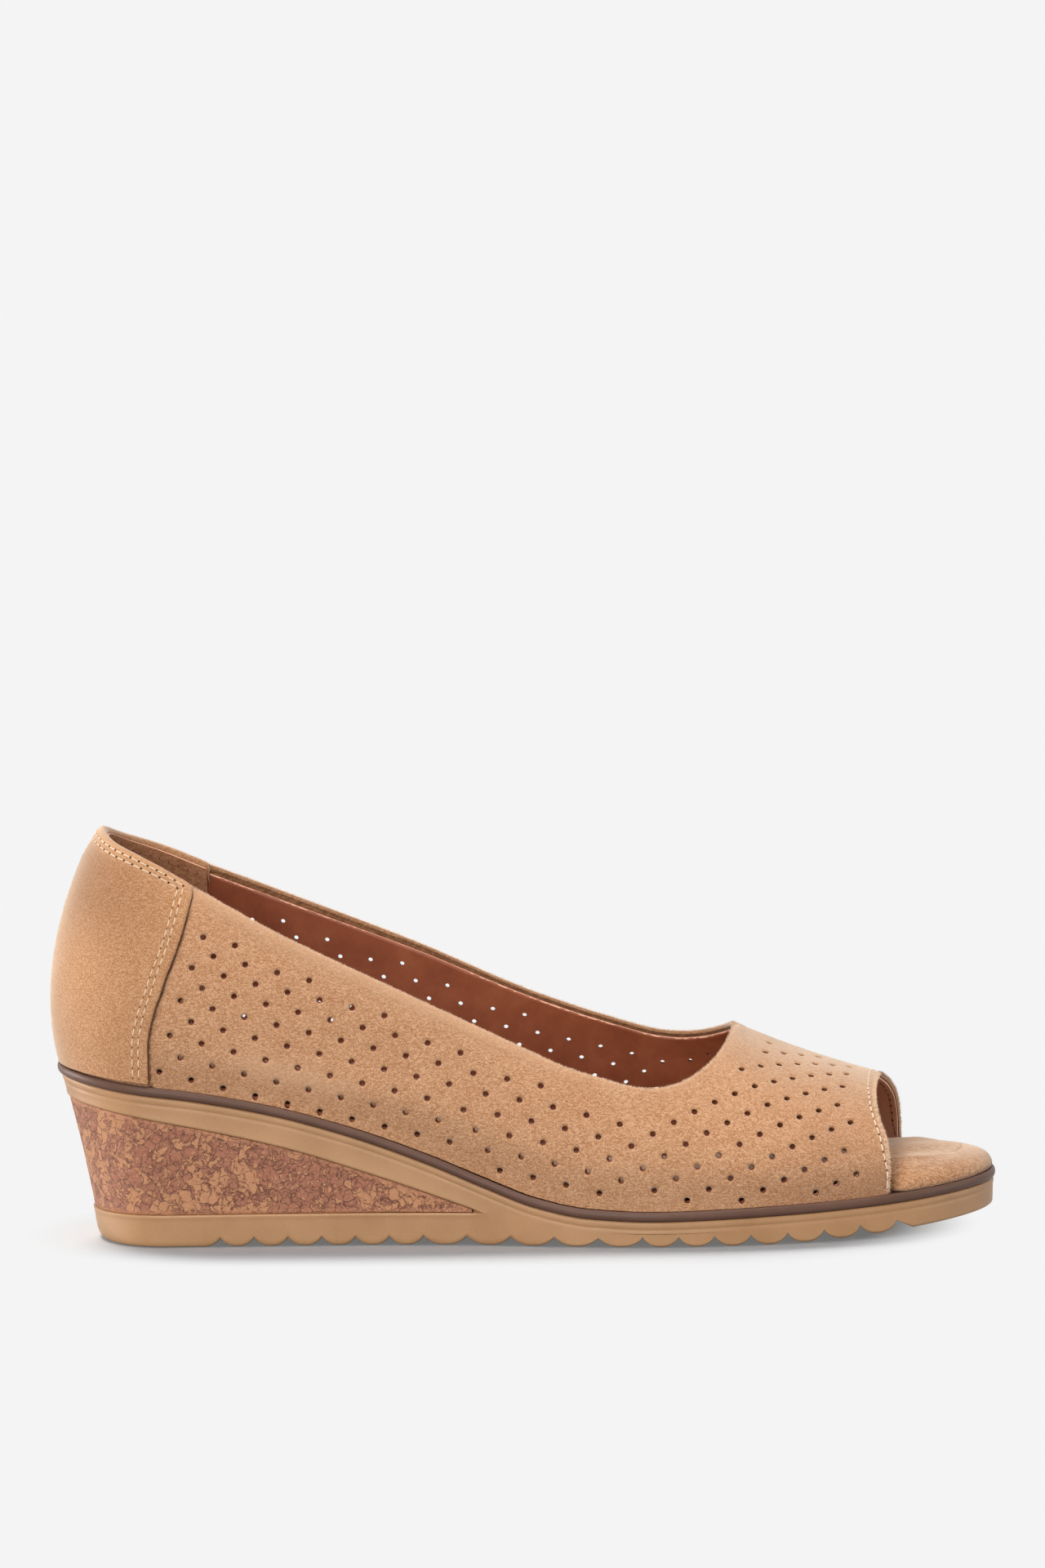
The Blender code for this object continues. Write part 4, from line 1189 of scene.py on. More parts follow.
def makeGrip():
    shares = np.linspace(0, 1, grip["rows"]) ** grip["rowPower"]
    outerRows, innerRows = [], []
    for share in shares:
        halves = []
        for side in sides:
            s = np.linspace(grip["front"], 0, grip["columns"])
            s[1:3] = grip["front"] - np.array(grip["edgeColumns"])
            top = toplineHeight(s, side) - grip["fromTop"]
            low = heightAt(s, np.full_like(s, grip["foot"]), side)
            height = top + (low - top) * share
            halves.append([gripLine(s, height, side, lift) for lift in (0.0, grip["thickness"])])
        outerRow, innerRow = joinHalves(halves)
        outerRows.append(outerRow)
        innerRows.append(innerRow)
    loop = outerRows + innerRows[::-1]
    faces = [face[::-1] for face in stripFaces(loop, grip["rows"])]
    columns = len(loop[0])
    closing = (len(loop) - 1) * (columns - 1)  # quads that join the two skins along the top edge
    slots = np.zeros(len(faces), int)
    slots[closing:closing + columns - 1] = 1
    slots[len(loop) * (columns - 1):] = 1
    newPiece("heelGrip", np.concatenate(loop), faces, [gripCloth, leatherEdge], slots, "counter_suede")


makeGrip()
print("counter and heel grip made")

# Stitches, each a short arched strand that dives into its needle holes
stitching = dict(
    sides=6,
    rings=6,
    lift=0.10,  # of a stitch's middle, and as much down at its ends
    thin=0.55,  # thickness of its ends
    toeSink=0.15,
    clear=0.02,
    holeSides=8,
    holeDome=0.05,
    holeDepth=0.25,
    # pitch, length of a stitch, radius of the thread, radius of the needle hole
    top=dict(pitch=2.7, stitch=2.4, radius=0.13, hole=0.38),
    front=dict(pitch=2.7, stitch=2.0, radius=0.14, hole=0.19),
    toe=dict(pitch=2.4, stitch=1.9, radius=0.22, hole=0.27),
    inside=dict(pitch=2.4, stitch=1.8, radius=0.19, hole=0.34),
    grip=dict(pitch=2.7, stitch=2.2, radius=0.16, hole=0.2),
    # climb up the wall, distance of the toe's row from its cut edge
    toeInset=[(0, 0.45), (0.1, 0.65), (0.2, 1.15), (0.3, 1.65), (0.6, 1.75), (0.9, 2.4), (1, 2.6)],
)
toeInset = smoothLine(stitching["toeInset"])


def resample(points, normals, pitch):
    lengths = wayAlong(points)
    count = max(2, round(lengths[-1] / pitch))
    marks = np.linspace(0, lengths[-1], count + 1)

    def at(distance):
        place = np.column_stack([np.interp(distance, lengths, points[:, k]) for k in range(3)])
        normal = np.column_stack([np.interp(distance, lengths, normals[:, k]) for k in range(3)])
        return place, unit(normal)

    return marks, at


def stitchRow(points, normals, seam, strands, needles):
    marks, at = resample(points, normals, seam["pitch"])
    spare = (marks[1] - marks[0]) - seam["stitch"]
    arch = np.sin(np.linspace(0, np.pi, stitching["rings"]))
    thick = seam["radius"] * (stitching["thin"] + (1 - stitching["thin"]) * arch ** 0.5)
    turn = np.linspace(0, 2 * np.pi, stitching["sides"], endpoint=False)
    for start in marks[:-1]:
        along = np.linspace(start + spare / 2, start + spare / 2 + seam["stitch"], stitching["rings"])
        place, normal = at(along)
        place = place + normal * (stitching["lift"] * (2 * arch - 1))[:, None]
        across = np.cross(unit(np.gradient(place, axis=0)), normal)
        ring = (
            place[:, None]
            + across[:, None] * (np.cos(turn)[None, :, None] * thick[:, None, None])
            + normal[:, None] * (np.sin(turn)[None, :, None] * thick[:, None, None])
        )
        strands.append(ring)
    place, normal = at(marks)
    needles.append((place, normal, seam["hole"]))


def strandMesh(strands):
    verts, faces = [], []
    for ring in strands:
        base = len(verts)
        rows, columns = ring.shape[:2]
        verts += ring.reshape(-1, 3).tolist()
        faces += [tuple(base + i for i in face[::-1]) for face in gridFaces(rows, columns, closeColumns=True)]
        faces.append(tuple(base + i for i in range(columns)))
        faces.append(tuple(base + (rows - 1) * columns + i for i in reversed(range(columns))))
    return verts, faces


def needleMesh(needles):
    # flat dark lenses, each a hole's mouth, their darkness painted shade
    verts, faces = [], []
    count = stitching["holeSides"]
    turn = np.linspace(0, 2 * np.pi, count, endpoint=False)
    for places, normals, radius in needles:
        for place, normal in zip(places, normals):
            east = unit(np.cross(normal, (0.31, 0.2, 0.93)))
            north = np.cross(normal, east)
            rim = place + radius * (np.cos(turn)[:, None] * east + np.sin(turn)[:, None] * north)
            base = len(verts)
            middles = place + stitching["holeDome"] * normal, place - stitching["holeDepth"] * normal
            verts += [*rim.tolist(), *(middle.tolist() for middle in middles)]
            for i in range(count):
                j = (i + 1) % count
                faces.append((base + i, base + j, base + count))
                faces.append((base + j, base + i, base + count + 1))
    return verts, faces


def smoothPath(path, rounds=2):
    # cuts a polyline's corners
    for _ in range(rounds):
        a, b = path[:-1], path[1:]
        cut = np.empty((2 * len(a), 2))
        cut[0::2], cut[1::2] = 0.75 * a + 0.25 * b, 0.25 * a + 0.75 * b
        path = np.concatenate([path[:1], cut, path[-1:]])
    return path


def counterPath(inset, side):
    # up the counter's front, and from its corner back along the topline to the heel's middle
    shares = np.linspace(0.03, 1, 40)
    s = stationOf(runOf(counterFront(shares)) - counter["stitchFromFront"] - inset)
    low, high = heightAt(s, np.zeros_like(s), side), toplineHeight(s, side) - counter["stitchFromTop"] - inset
    front = np.column_stack([runOf(s), low + (high - low) * shares])
    back = np.linspace(s[-1], 0, 60)[1:]
    along = np.column_stack([runOf(back), toplineHeight(back, side) - counter["stitchFromTop"] - inset])
    path = smoothPath(np.concatenate([front, along]), 3)
    corner = np.hypot(*(path - front[-1]).T).argmin()
    station = stationOf(path[:, 0])
    normals = lastNormal(station, climbAt(station, path[:, 1], side), side)
    lift = counterOut(toplineHeight(station, side) - path[:, 1])
    points = wallPoint(path[:, 0], path[:, 1], side, lift)
    return (points[:corner + 1], normals[:corner + 1]), (points[corner:], normals[corner:])


def makeStitches():
    strands, needles, innerStrands = [], [], []
    for inset in (0.0, counter["rowGap"]):
        paths = [counterPath(inset, side) for side in sides]
        for front, _ in paths:
            stitchRow(*front, stitching["front"], strands, needles)
        stitchRow(*joinHalves([top for _, top in paths]), stitching["top"], strands, needles)
    toe = []
    for side in sides:
        climbs = np.linspace(0.02, 1, 60)
        run = toeCut[side](climbs) - toeInset(climbs)
        toe.append((lastPoint(run, climbs, side), lastNormal(run, climbs, side)))
    points, normals = joinHalves(toe)
    stitchRow(points - stitching["toeSink"] * normals, normals, stitching["toe"], strands, needles)
    back = upper["wall"] + stitching["clear"]
    stitchRow(points - back * normals, -normals, stitching["inside"], innerStrands, needles)
    rows = []
    for side in sides:
        s = np.linspace(grip["front"] - grip["seamInset"], 0, 60)
        height = toplineHeight(s, side) - grip["fromTop"] - grip["seamInset"]
        normal = lastNormal(s, climbAt(s, height, side), side)
        rows.append((gripLine(s, height, side, grip["thickness"] + stitching["clear"]), -normal))
    stitchRow(*joinHalves(rows), stitching["grip"], innerStrands, needles)
    newPiece("stitches", *strandMesh(strands), [thread], None, "counter_suede")
    newPiece("insideStitches", *strandMesh(innerStrands), [brownThread], None, "counter_suede")
    newPiece("needleHoles", *needleMesh(needles), [needleDark], None, "counter_suede")


makeStitches()
print("stitches made")

# Sole plan: stations that both sides share, heel angles first, then x, then shares of the toe's round
sole = dict(
    inset=0.6,
    taper=0.045,
    springStart=190.0,
    springRise=3.8,
    springPower=1.5,
    heelTaper=[(3, 6.8), (11, 6.1), (24, 4.2), (34, 2.4), (43, 0.6), (50, 0.6)],
    heelRound=(2.0, 4.0),  # the heel's lower edge: how far in and how far up
    lobes=[(45.6, 8.8, 6, 2.1), (98.4, 11.4, 5, 2.2), (155.4, 9.25, 7, 2.6)],  # start, pitch, count, notch
    lobeFlat=0.1,
    weltThickness=3.0,
    corkTop=[(5, 37.6), (28, 33.4), (61, 26.1), (87, 17.9), (114.3, 8.3)],
    corkBottom=8.3,
    corkBlunt=2.6,
    slotDepth=2.2,
    slotFade=(-4.0, 1.0),  # from the cork's tip
    runOn=25.0,  # past the tip, the slot's line rises over this length
    runOnShare=0.6,  # to this share of the sole's height
    roundRoom=4.0,  # the lower edge's round is smaller where less height than this is left
    step=1.6,
    toeStart=228.0,
    heelSteps=33,
    toeSteps=48,
)
corkTop = smoothLine(sole["corkTop"])
corkTip = sole["corkTop"][-1][0]


def heelBackAt(z):
    inward, height = sole["heelRound"]
    share = np.clip((height - z) / height, 0, 1)
    return tableAt(z, sole["heelTaper"]) + inward * (1 - np.sqrt(1 - share ** 2))


def soleTop(x):
    return weltTop(x) - sole["weltThickness"] - shoe["gap"]


def toeSpring(x):
    share = np.clip((x - sole["springStart"]) / (shoe["length"] - sole["springStart"]), 0, None)
    return sole["springRise"] * share ** sole["springPower"]


def lobeFlank(pitch, notch):
    # half a lobe outwards from its middle: a short flat, then a round up to the notch
    flat = pitch / 2 * sole["lobeFlat"]
    width = pitch / 2 - flat
    radius = (width ** 2 + notch ** 2) / (2 * notch)
    angles = np.linspace(0, math.asin(width / radius), 9)
    return list(zip(flat + radius * np.sin(angles), radius * (1 - np.cos(angles))))


def treadMarks():
    # x and height of the underside from the heel pad to the toe piece
    start, pitch, _, notch = sole["lobes"][0]
    marks = [(start - pitch / 2 + out, up) for out, up in lobeFlank(pitch, notch)[:-1]]
    for start, pitch, count, notch in sole["lobes"]:
        flank = lobeFlank(pitch, notch)
        for k in range(count):
            middle = start + (k + 0.5) * pitch
            floor = float(toeSpring(middle))
            marks += [(middle - out, floor + up) for out, up in reversed(flank)]
            marks += [(middle + out, floor + up) for out, up in flank[:-1]]
    end = start + pitch * count
    after = end + 0.5 * pitch * (1 - sole["lobeFlat"])
    return marks + [(end, float(toeSpring(end)) + notch), (after, float(toeSpring(after)))]


tread = treadMarks()


def treadAt(x):
    lobed = np.where(x < tread[0][0], 0.0, tableAt(x, tread))
    return np.where(x > tread[-1][0], toeSpring(x), lobed)


def planStations(step, marks=()):
    heel = np.linspace(0, np.pi / 2, sole["heelSteps"])[:-1]
    plain = np.arange(shoe["heelAxis"], sole["toeStart"], step)
    marked = np.array([x for x in marks if shoe["heelAxis"] + step / 2 < x < sole["toeStart"] - 0.2])
    if len(marked):
        plain = plain[np.abs(plain[:, None] - marked).min(1) > step * 0.3]
    waist = np.sort(np.concatenate([plain, marked]))
    toe = np.sin(np.linspace(0, np.pi / 2, sole["toeSteps"]))
    kinds = np.repeat([0, 1, 2], [len(heel), len(waist), len(toe)])
    return kinds, np.concatenate([heel, waist, toe])


def planPoint(stations, side, inset, back=0.0):
    kind, value = stations
    heelX, heelY = heelPoint(np.where(kind == 0, value, 0.0), side, inset, back)
    reach = shoe["length"] - inset - sole["toeStart"]
    x = np.where(kind == 1, value, sole["toeStart"] + reach * value)
    y = sideY(np.where(kind == 0, shoe["heelAxis"], x), side, inset)
    return np.where(kind == 0, heelX, x), np.where(kind == 0, heelY, y)


def wallLevel(stations, side, curve, rise, out):
    # points of the sole's side at the heights that a curve gives, out from the plain side
    topX, _ = planPoint(stations, side, 0.0)
    x = topX
    for _ in range(3):
        z = curve(x) + rise
        inset = sole["inset"] + sole["taper"] * np.maximum(0, soleTop(topX) - z) - out
        x, y = planPoint(stations, side, inset, heelBackAt(z))
    return np.column_stack([x, y, z])


def slotLine(share):
    # the cork's slot, which closes at its tip and runs on as a plain line to the toe
    def at(x):
        slot = sole["corkBottom"] + share * (corkTop(np.minimum(x, corkTip)) - sole["corkBottom"])
        middle = toeSpring(x) + sole["runOnShare"] * (soleTop(x) - toeSpring(x))
        rising = ease(corkTip, corkTip + sole["runOn"], x)
        onward = sole["corkBottom"] + (middle - sole["corkBottom"]) * rising
        return np.where(x < corkTip, slot, onward)

    return at


def aroundRow(level):
    # one closed row round the shoe: lateral side to the toe, back along the medial side
    return np.concatenate([level("lateral"), level("medial")[::-1]])


def makeOutsole():
    stations = planStations(sole["step"], [x for x, _ in tread])
    floorLine, roofLine = slotLine(0.0), slotLine(1.0)
    depth = sole["slotDepth"]
    x0, _ = planPoint(stations, "lateral", 0.0)
    room = np.minimum(1.0, (floorLine(x0) - treadAt(x0)) / sole["roundRoom"])
    keep = 1 - ease(*(corkTip + fade for fade in sole["slotFade"]), x0)

    def between(share):
        return lambda x: treadAt(x) + share * (floorLine(x) - treadAt(x))

    # curve, rise above it, out from the side, scale of the rise and of the out
    levels = [(treadAt, rise, out, room, 1.0) for rise, out in
              ((0.0, -0.9), (0.08, -0.45), (0.28, -0.15), (0.6, 0.0))]
    levels += [(between(share), 0.0, 0.0, 1.0, 1.0) for share in (0.18, 0.3, 0.45, 0.62, 0.76)]
    lip = ((-1.3, 0.0), (-0.9, 0.06), (-0.5, 0.10), (-0.15, 0.06), (0.0, -0.15), (0.0, -depth))
    levels += [(floorLine, rise, out, keep, keep) for rise, out in lip]
    levels += [(roofLine, -rise, out, keep, keep) for rise, out in lip[::-1]]
    levels += [(soleTop, rise, out, 1.0, 1.0) for rise, out in (
        (-2.5, 0.0), (-1.6, 0.0), (-1.35, -0.10), (-1.1, 0.02), (-0.7, 0.10), (0.0, 0.12), (0.32, 0.04),
        (0.56, -0.14), (0.66, -0.45), (0.66, -0.8), (0.2, -0.95), (0.0, -1.4),
    )]
    rows = [
        aroundRow(lambda side: wallLevel(stations, side, curve, rise * tall, out * wide))
        for curve, rise, out, tall, wide in levels
    ]
    count = len(x0)
    columns = 2 * count
    faces = gridFaces(len(rows), columns, closeColumns=True)
    last = (len(rows) - 1) * columns
    for k in range(count - 1):
        a, b, c, d = k, k + 1, columns - 2 - k, columns - 1 - k
        faces.append((d, c, b, a))
        faces.append((last + a, last + b, last + c, last + d))
    verts, faces, _ = weld(np.concatenate(rows), faces)
    newPiece("rubberSole", verts, faces, [rubber], None, "tan_rubber", "outsole")


makeOutsole()
print("outsole made")

# Cork insert: a wrap of pressed cork set into the slot, with a plain pressed border
corkSizes = dict(
    rows=34,
    heelSteps=60,
    step=0.9,
    face=0.32,  # its face behind the rubber's
    thickness=1.5,
    clear=0.6,  # share of the usual gap that is left over and under it
    least=0.3,  # height at its tip
    border=(0.54, 1.17),  # the plain border fades out between these distances from an edge
    rounded=0.25,
    roundedTo=0.03,  # share of the height that the rounded edge takes
)


def makeCork():
    tip = corkTip - sole["corkBlunt"]
    heel = np.linspace(0, np.pi / 2, corkSizes["heelSteps"])[:-1]
    ahead = np.arange(shoe["heelAxis"], tip, corkSizes["step"])
    stations = np.repeat([0, 1], [len(heel), len(ahead)]), np.concatenate([heel, ahead])
    gap = shoe["gap"] * corkSizes["clear"]

    def height(share):
        low = sole["corkBottom"] + gap
        return lambda x: low + share * np.maximum(corkTop(x) - gap - low, corkSizes["least"])

    def across(share, depth):
        halves = [wallLevel(stations, side, height(share), 0.0, -corkSizes["face"] - depth) for side in sides]
        return np.concatenate([halves[0][::-1], halves[1][1:]])

    shares = 0.5 - 0.5 * np.cos(np.linspace(0, np.pi, corkSizes["rows"]))
    fromEdge = np.minimum(shares, 1 - shares)
    edges = corkSizes["rounded"] * (1 - ease(0.0, corkSizes["roundedTo"], fromEdge))
    front = np.array([across(share, edge) for share, edge in zip(shares, edges)])
    back = np.array([across(share, corkSizes["thickness"]) for share in shares])
    reach = np.minimum(front[..., 2] - front[:1, :, 2], front[-1:, :, 2] - front[..., 2])
    border = 1 - ease(*corkSizes["border"], reach)
    count = front.shape[0] * front.shape[1]
    faces = gridFaces(*front.shape[:2])
    tris = np.array([t for a, b, c, d in faces for t in ((a, b, c), (a, c, d))])
    faces, _ = wallFaces(count, tris)
    verts = np.concatenate([front.reshape(-1, 3), back.reshape(-1, 3)])
    piece = newPiece("corkWedge", verts, faces, [cork], None, "cork", "cork_wedge")
    paint(piece, "border", [border, border])


makeCork()
print("cork made")

# Welt: an extruded rubber bead all round, with a crease where the upper sits in it
weltSizes = dict(
    profile=[
        (7.0, -2.95), (2.0, -2.95), (1.9, -2.58), (0.75, -2.58), (0.42, -2.46), (0.15, -2.15), (0.02, -1.75),
        (0.0, -1.4), (0.03, -1.0), (0.16, -0.55), (0.42, -0.22), (0.8, -0.08), (1.15, -0.12), (1.4, -0.25),
        (2.2, -0.3), (7.0, -0.3),
    ],
)


def makeWelt():
    stations = planStations(sole["step"])

    def level(side, inset, rise):
        x, y = planPoint(stations, side, inset)
        return np.column_stack([x, y, weltTop(x) + rise])

    rows = [aroundRow(lambda side: level(side, inset, rise)) for inset, rise in weltSizes["profile"]]
    faces = gridFaces(len(rows), len(rows[0]), closeRows=True, closeColumns=True)
    verts, faces, _ = weld(np.concatenate(rows), faces)
    newPiece("weltBead", verts, faces, [weltRubber], None, "brown_welt", "welt")


makeWelt()
print("welt made")

# Insole: a foam footbed wrapped in suede, spreading to the welt at the open toe, where it wrinkles
insole = dict(
    inset=4.4,
    toeInset=0.75,
    lift=[(0, 0.0), (190, 0.0), (210, 2.0), (222, 2.1), (229.4, 1.1), (238, 0.65), (246, 0.3)],  # x, rise
    coveredTo=(199.0, 213.0),  # behind this its sides get painted shade, under the walls
    sideShade=0.9,
    sideShadeWidth=(2.5, 15.0),  # that fades between these distances from the edge
    vampShade=0.6,  # and painted shade darkens it all over under the vamp
    underVamp=(146.0, 172.0, 190.0, 208.0),  # x where that starts, is full, fades and ends
    spread=4.0,
    crown=1.5,
    crownPower=2.6,
    # in from its rim, up from the welt
    edge=[
        (0.6, -0.35), (0.2, -0.15), (0.02, 0.25), (0.0, 0.7), (0.12, 1.2), (0.4, 1.85), (0.85, 2.5),
        (1.5, 3.1), (2.4, 3.65), (3.5, 4.1), (4.8, 4.45), (6.2, 4.7), (7.8, 4.85),
    ],
    liftFrom=0.5,  # rows of that edge above this follow the lift
    rimRow=3,  # row of that edge at its widest
    step=1.8,
    columns=60,
    # wrinkles: start x, y, end x, y, half width, depth (up is a ridge)
    wrinkles=[
        (217, -9, 237, 13, 5.0, 0.55), (217, -23, 232, -11, 4.0, 0.45), (217, -16, 236, 0, 3.4, -0.40),
        (219, 2, 238, 20, 4.4, -0.40), (220, 14, 236, 27, 4.0, 0.30), (237, -6, 239, 12, 3.0, -0.25),
    ],
)


def insoleInset(x, side):
    start = collar["toeCorner"][side] + 2 * shoe["gap"]
    return insole["inset"] + (insole["toeInset"] - insole["inset"]) * ease(start, start + insole["spread"], x)


def makeInsole():
    stations = planStations(insole["step"])
    x0, _ = planPoint(stations, "lateral", 0.0)
    flanks = {}
    for side in sides:
        rows = []
        for rim, rise in insole["edge"]:
            x, y = planPoint(stations, side, insoleInset(x0, side) + rim)
            z = weltTop(x) + shoe["gap"] + rise
            if rise > insole["liftFrom"]:
                z += tableAt(x, insole["lift"]) * min(1.0, rim / insole["edge"][-1][0])
            rows.append(np.column_stack([x, y, z]))
        flanks[side] = rows
    left, right = flanks["lateral"][-1], flanks["medial"][-1]
    wide = np.minimum(1.0, np.abs(right[:, 1] - left[:, 1]) / shoe["outline"]["lateral"][-1][1])
    top = []
    for share in np.linspace(0, 1, insole["columns"])[1:-1]:
        row = left + (right - left) * share
        swell = insole["crown"] * (1 - abs(2 * share - 1) ** insole["crownPower"]) * wide
        row[:, 2] += swell + strokes(row[:, :2], insole["wrinkles"], 0.1)
        top.append(row)
    loop = np.array([*flanks["lateral"], *top, *flanks["medial"][::-1]])
    faces = gridFaces(*loop.shape[:2], closeRows=True)
    verts, faces, first = weld(loop.reshape(-1, 3), faces)
    x, y, _ = verts.T
    rims = loop[[insole["rimRow"], -1 - insole["rimRow"]]][:, first % loop.shape[1], 1]
    rim = np.abs(y - rims).min(0)
    # painted shade along its sides, behind the open toe, and all over under the vamp
    covered = 1 - ease(*insole["coveredTo"], x)
    paintedShading = insole["sideShade"] * (1 - ease(*insole["sideShadeWidth"], rim)) * covered
    start, full, fades, end = insole["underVamp"]
    paintedShading = np.maximum(paintedShading, insole["vampShade"] * ease(start, full, x) * (1 - ease(fades, end, x)))
    piece = newPiece("insolePad", verts, faces, [insoleCloth], None, "insole_suede", "insole")
    paint(piece, "shade", paintedShading)


makeInsole()
print("insole made")

# Floor and light: a pale sheet that is lit near the shoe and plain beyond, under large soft lamps
studio = dict(
    paper=0.84,
    backdrop="#F4F4F4",
    shoeReach=(-0.066, 0.05),  # the lit patch is long, as the shoe is
    patchTurn=0.1,  # and turned as its lateral edge is
    plainFrom=0.043,
    plainAt=0.07,
    fill=0.145,  # share of the sheet's light that no shadow takes
    fillTint="#E9F4F7",
    worldAbove=0.34,
    worldBelow=0.17,
    worldFade=(-0.4, 0.5),  # how far down and up, as shares, the world grows from one to the other
    worldTint="#EAF1FF",
    lampTint="#FFFBF6",
    sweepBehind=1.6,
    sweepRadius=0.8,
    sweepTop=3.0,
    floorFront=-4.0,
    floorSide=5.0,
    floorDrop=0.0002,  # below the sole, so that the two don't flicker
    wallRadius=6.0,
    wallHeights=(-2.0, 8.0),
)


def paleFloor():
    material, tree, coords = newMaterial("pale studio paper")
    back, front = studio["shoeReach"]
    coords = node(tree, "Mapping", {"Vector": coords, "Rotation": (0.0, 0.0, studio["patchTurn"])}).outputs[0]
    nearest = node(tree, "VectorMath", {0: coords, 1: (back, 0.0, 0.0)}, operation="MAXIMUM")
    nearest = node(tree, "VectorMath", {0: nearest.outputs[0], 1: (front, 0.0, 0.0)}, operation="MINIMUM")
    axis = node(tree, "VectorMath", {0: nearest.outputs[0], 1: (1.0, 0.0, 0.0)}, operation="MULTIPLY")
    away = node(tree, "VectorMath", {0: coords, 1: axis.outputs[0]}, operation="DISTANCE")
    plain = node(tree, "MapRange", {"Value": away.outputs["Value"], "From Min": studio["plainFrom"],
                                    "From Max": studio["plainAt"]}, interpolation_type="SMOOTHSTEP")
    grey = (studio["paper"], studio["paper"], studio["paper"], 1.0)
    lit = node(tree, "BsdfDiffuse", {"Color": grey})
    even = node(tree, "Emission", {"Color": linear(studio["backdrop"]), "Strength": 1.0})
    fill = node(tree, "Emission", {"Color": linear(studio["fillTint"]), "Strength": 1.0})
    near = node(tree, "MixShader", {0: studio["fill"], 1: lit.outputs[0], 2: fill.outputs[0]})
    mixed = node(tree, "MixShader", {0: plain.outputs["Result"], 1: near.outputs[0], 2: even.outputs[0]})
    node(tree, "OutputMaterial", {"Surface": mixed.outputs[0]})
    return material


def stageMesh(name, verts, faces, material):
    mesh = bpy.data.meshes.new(name)
    mesh.from_pydata(verts, [], faces)
    mesh.materials.append(material)
    sheet = bpy.data.objects.new(name, mesh)
    bpy.context.scene.collection.objects.link(sheet)
    return sheet


def makeFloor():
    radius, behind = studio["sweepRadius"], studio["sweepBehind"]
    angles = np.linspace(0, math.pi / 2, 24)
    side = studio["floorSide"]
    profile = [(studio["floorFront"], 0.0), (behind, 0.0)]
    profile += [(behind + radius * math.sin(a), radius * (1 - math.cos(a))) for a in angles[1:]]
    profile.append((behind + radius, studio["sweepTop"]))
    verts = [(x, y, z - studio["floorDrop"]) for y, z in profile for x in (-side, side)]
    floor = stageMesh("studioFloor", verts, [face[::-1] for face in gridFaces(len(profile), 2)], paleFloor())
    floor.data.shade_smooth()
    floor.visible_diffuse = False  # the sheet is lit for the eye, and doesn't light the shoe from below
    return floor


def makeBackdrop():
    # a plain wall all round, for the eye only: it takes no part in the light
    material, tree, _ = newMaterial("pale studio wall")
    even = node(tree, "Emission", {"Color": linear(studio["backdrop"]), "Strength": 1.0})
    node(tree, "OutputMaterial", {"Surface": even.outputs[0]})
    turn = np.linspace(0, 2 * np.pi, 48, endpoint=False)
    radius = studio["wallRadius"]
    verts = [(radius * math.cos(a), radius * math.sin(a), z) for z in studio["wallHeights"] for a in turn]
    wall = stageMesh("studioWall", verts, gridFaces(2, len(turn), closeColumns=True), material)
    wall.visible_diffuse = wall.visible_glossy = wall.visible_transmission = wall.visible_shadow = False


lamps = [
    # name, place, aims at, size, power, what it lights
    ("floor softbox", (-0.5, 0.55, 1.35), (0.0, 0.0, 0.0), 0.55, 18.8, "floor"),
    ("overhead softbox", (-0.1, -0.3, 1.4), (0.0, 0.0, 0.03), 0.95, 12.7, "shoe"),
    ("front softbox", (-0.55, -1.65, 0.58), (0.0, 0.0, 0.05), 0.9, 22.8, "shoe"),
    ("side softbox", (0.95, -1.4, 0.2), (0.05, 0.0, 0.03), 0.7, 1.6, "shoe"),
    ("toe fill", (1.5, -0.1, 0.2), (0.05, 0.0, 0.03), 0.9, 7.5, "shoe"),
    ("heel fill", (-1.35, 0.3, 0.03), (-0.1, 0.0, 0.04), 0.7, 23.0, "shoe"),
]


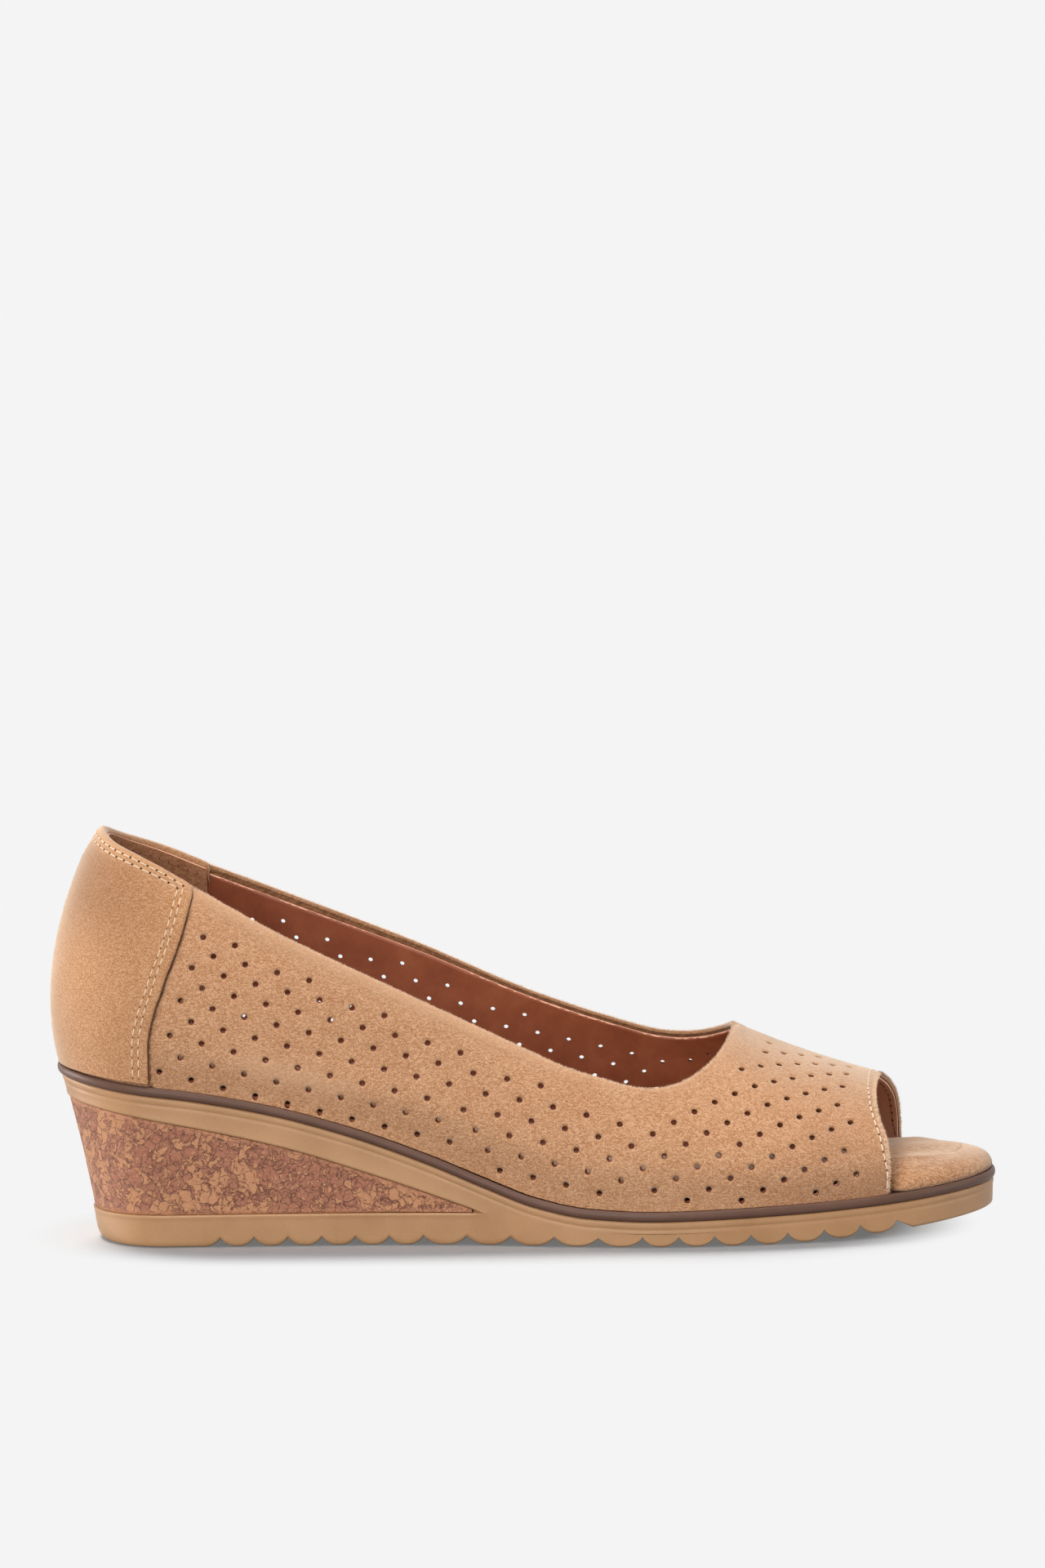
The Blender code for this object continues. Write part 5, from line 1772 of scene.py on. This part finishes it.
def makeLights(floor):
    lit = {}
    for name, state in (("floor", "INCLUDE"), ("shoe", "EXCLUDE")):
        lit[name] = bpy.data.collections.new("lights the " + name)
        lit[name].objects.link(floor)
        lit[name].collection_objects[0].light_linking.link_state = state
    for name, place, aim, size, power, receiver in lamps:
        lamp = bpy.data.lights.new(name, "AREA")
        lamp.shape = "DISK"
        lamp.size = size
        lamp.energy = power
        lamp.color = linear(studio["lampTint"])[:3]
        holder = bpy.data.objects.new(name, lamp)
        holder.location = place
        holder.rotation_euler = (Vector(aim) - Vector(place)).to_track_quat("-Z", "Y").to_euler()
        bpy.context.scene.collection.objects.link(holder)
        holder.light_linking.receiver_collection = lit[receiver]
    world = bpy.data.worlds.new("studio")
    world.use_nodes = True
    tree = world.node_tree
    tree.nodes.clear()
    way = node(tree, "SeparateXYZ", {0: node(tree, "TexCoord").outputs["Generated"]})
    low, high = studio["worldFade"]
    bright = node(tree, "MapRange", {"Value": way.outputs["Z"], "From Min": low, "From Max": high,
                                     "To Min": studio["worldBelow"], "To Max": studio["worldAbove"]})
    tint = linear(studio["worldTint"])
    sky = node(tree, "Background", {"Color": tint, "Strength": bright.outputs["Result"]})
    node(tree, "OutputWorld", {"Surface": sky.outputs[0]})
    bpy.context.scene.world = world


makeLights(makeFloor())
makeBackdrop()
bpy.context.scene.view_settings.view_transform = "Standard"

# Camera: as far off and as high as the photo's, rolled a little, the shoe low in the frame
view = dict(
    azimuth=3.5,
    elevation=7.0,
    roll=-1.463,
    distance=1800.0,
    target=(123.0, 0.0, 45.0),
    imageWidth=1280,
    imageHeight=1920,
    targetPixel=(638.25, 1292.3),
    pixelsPerMm=4.6855,
    sensor=36.0,
    clipEnd=50.0,
)


def makeCamera():
    azimuth, elevation, tilt = (math.radians(view[name]) for name in ("azimuth", "elevation", "roll"))
    back = Vector((
        math.sin(azimuth) * math.cos(elevation),
        -math.cos(azimuth) * math.cos(elevation),
        math.sin(elevation),
    ))
    level = Vector((math.cos(azimuth), math.sin(azimuth), 0.0))
    upright = back.cross(level)
    right = level * math.cos(tilt) + upright * math.sin(tilt)
    up = upright * math.cos(tilt) - level * math.sin(tilt)
    place = (Vector(view["target"]) + Vector(toWorld) + back * view["distance"]) * mm
    focal = view["pixelsPerMm"] * view["distance"]
    pitch = math.atan((view["targetPixel"][1] - view["imageHeight"] / 2) / focal)
    yaw = math.atan((view["imageWidth"] / 2 - view["targetPixel"][0]) / focal)
    aim = Matrix((right, up, back)).transposed().to_4x4()
    turn = Matrix.Rotation(-yaw, 4, "Y") @ Matrix.Rotation(pitch, 4, "X")
    camera = bpy.data.objects.new("camera", bpy.data.cameras.new("camera"))
    camera.data.sensor_width = view["sensor"]
    camera.data.lens = focal * view["sensor"] / view["imageHeight"]
    camera.data.clip_end = view["clipEnd"]
    camera.matrix_world = Matrix.Translation(place) @ aim @ turn
    bpy.context.scene.collection.objects.link(camera)
    bpy.context.scene.camera = camera


makeCamera()
print("floor, light and camera made")
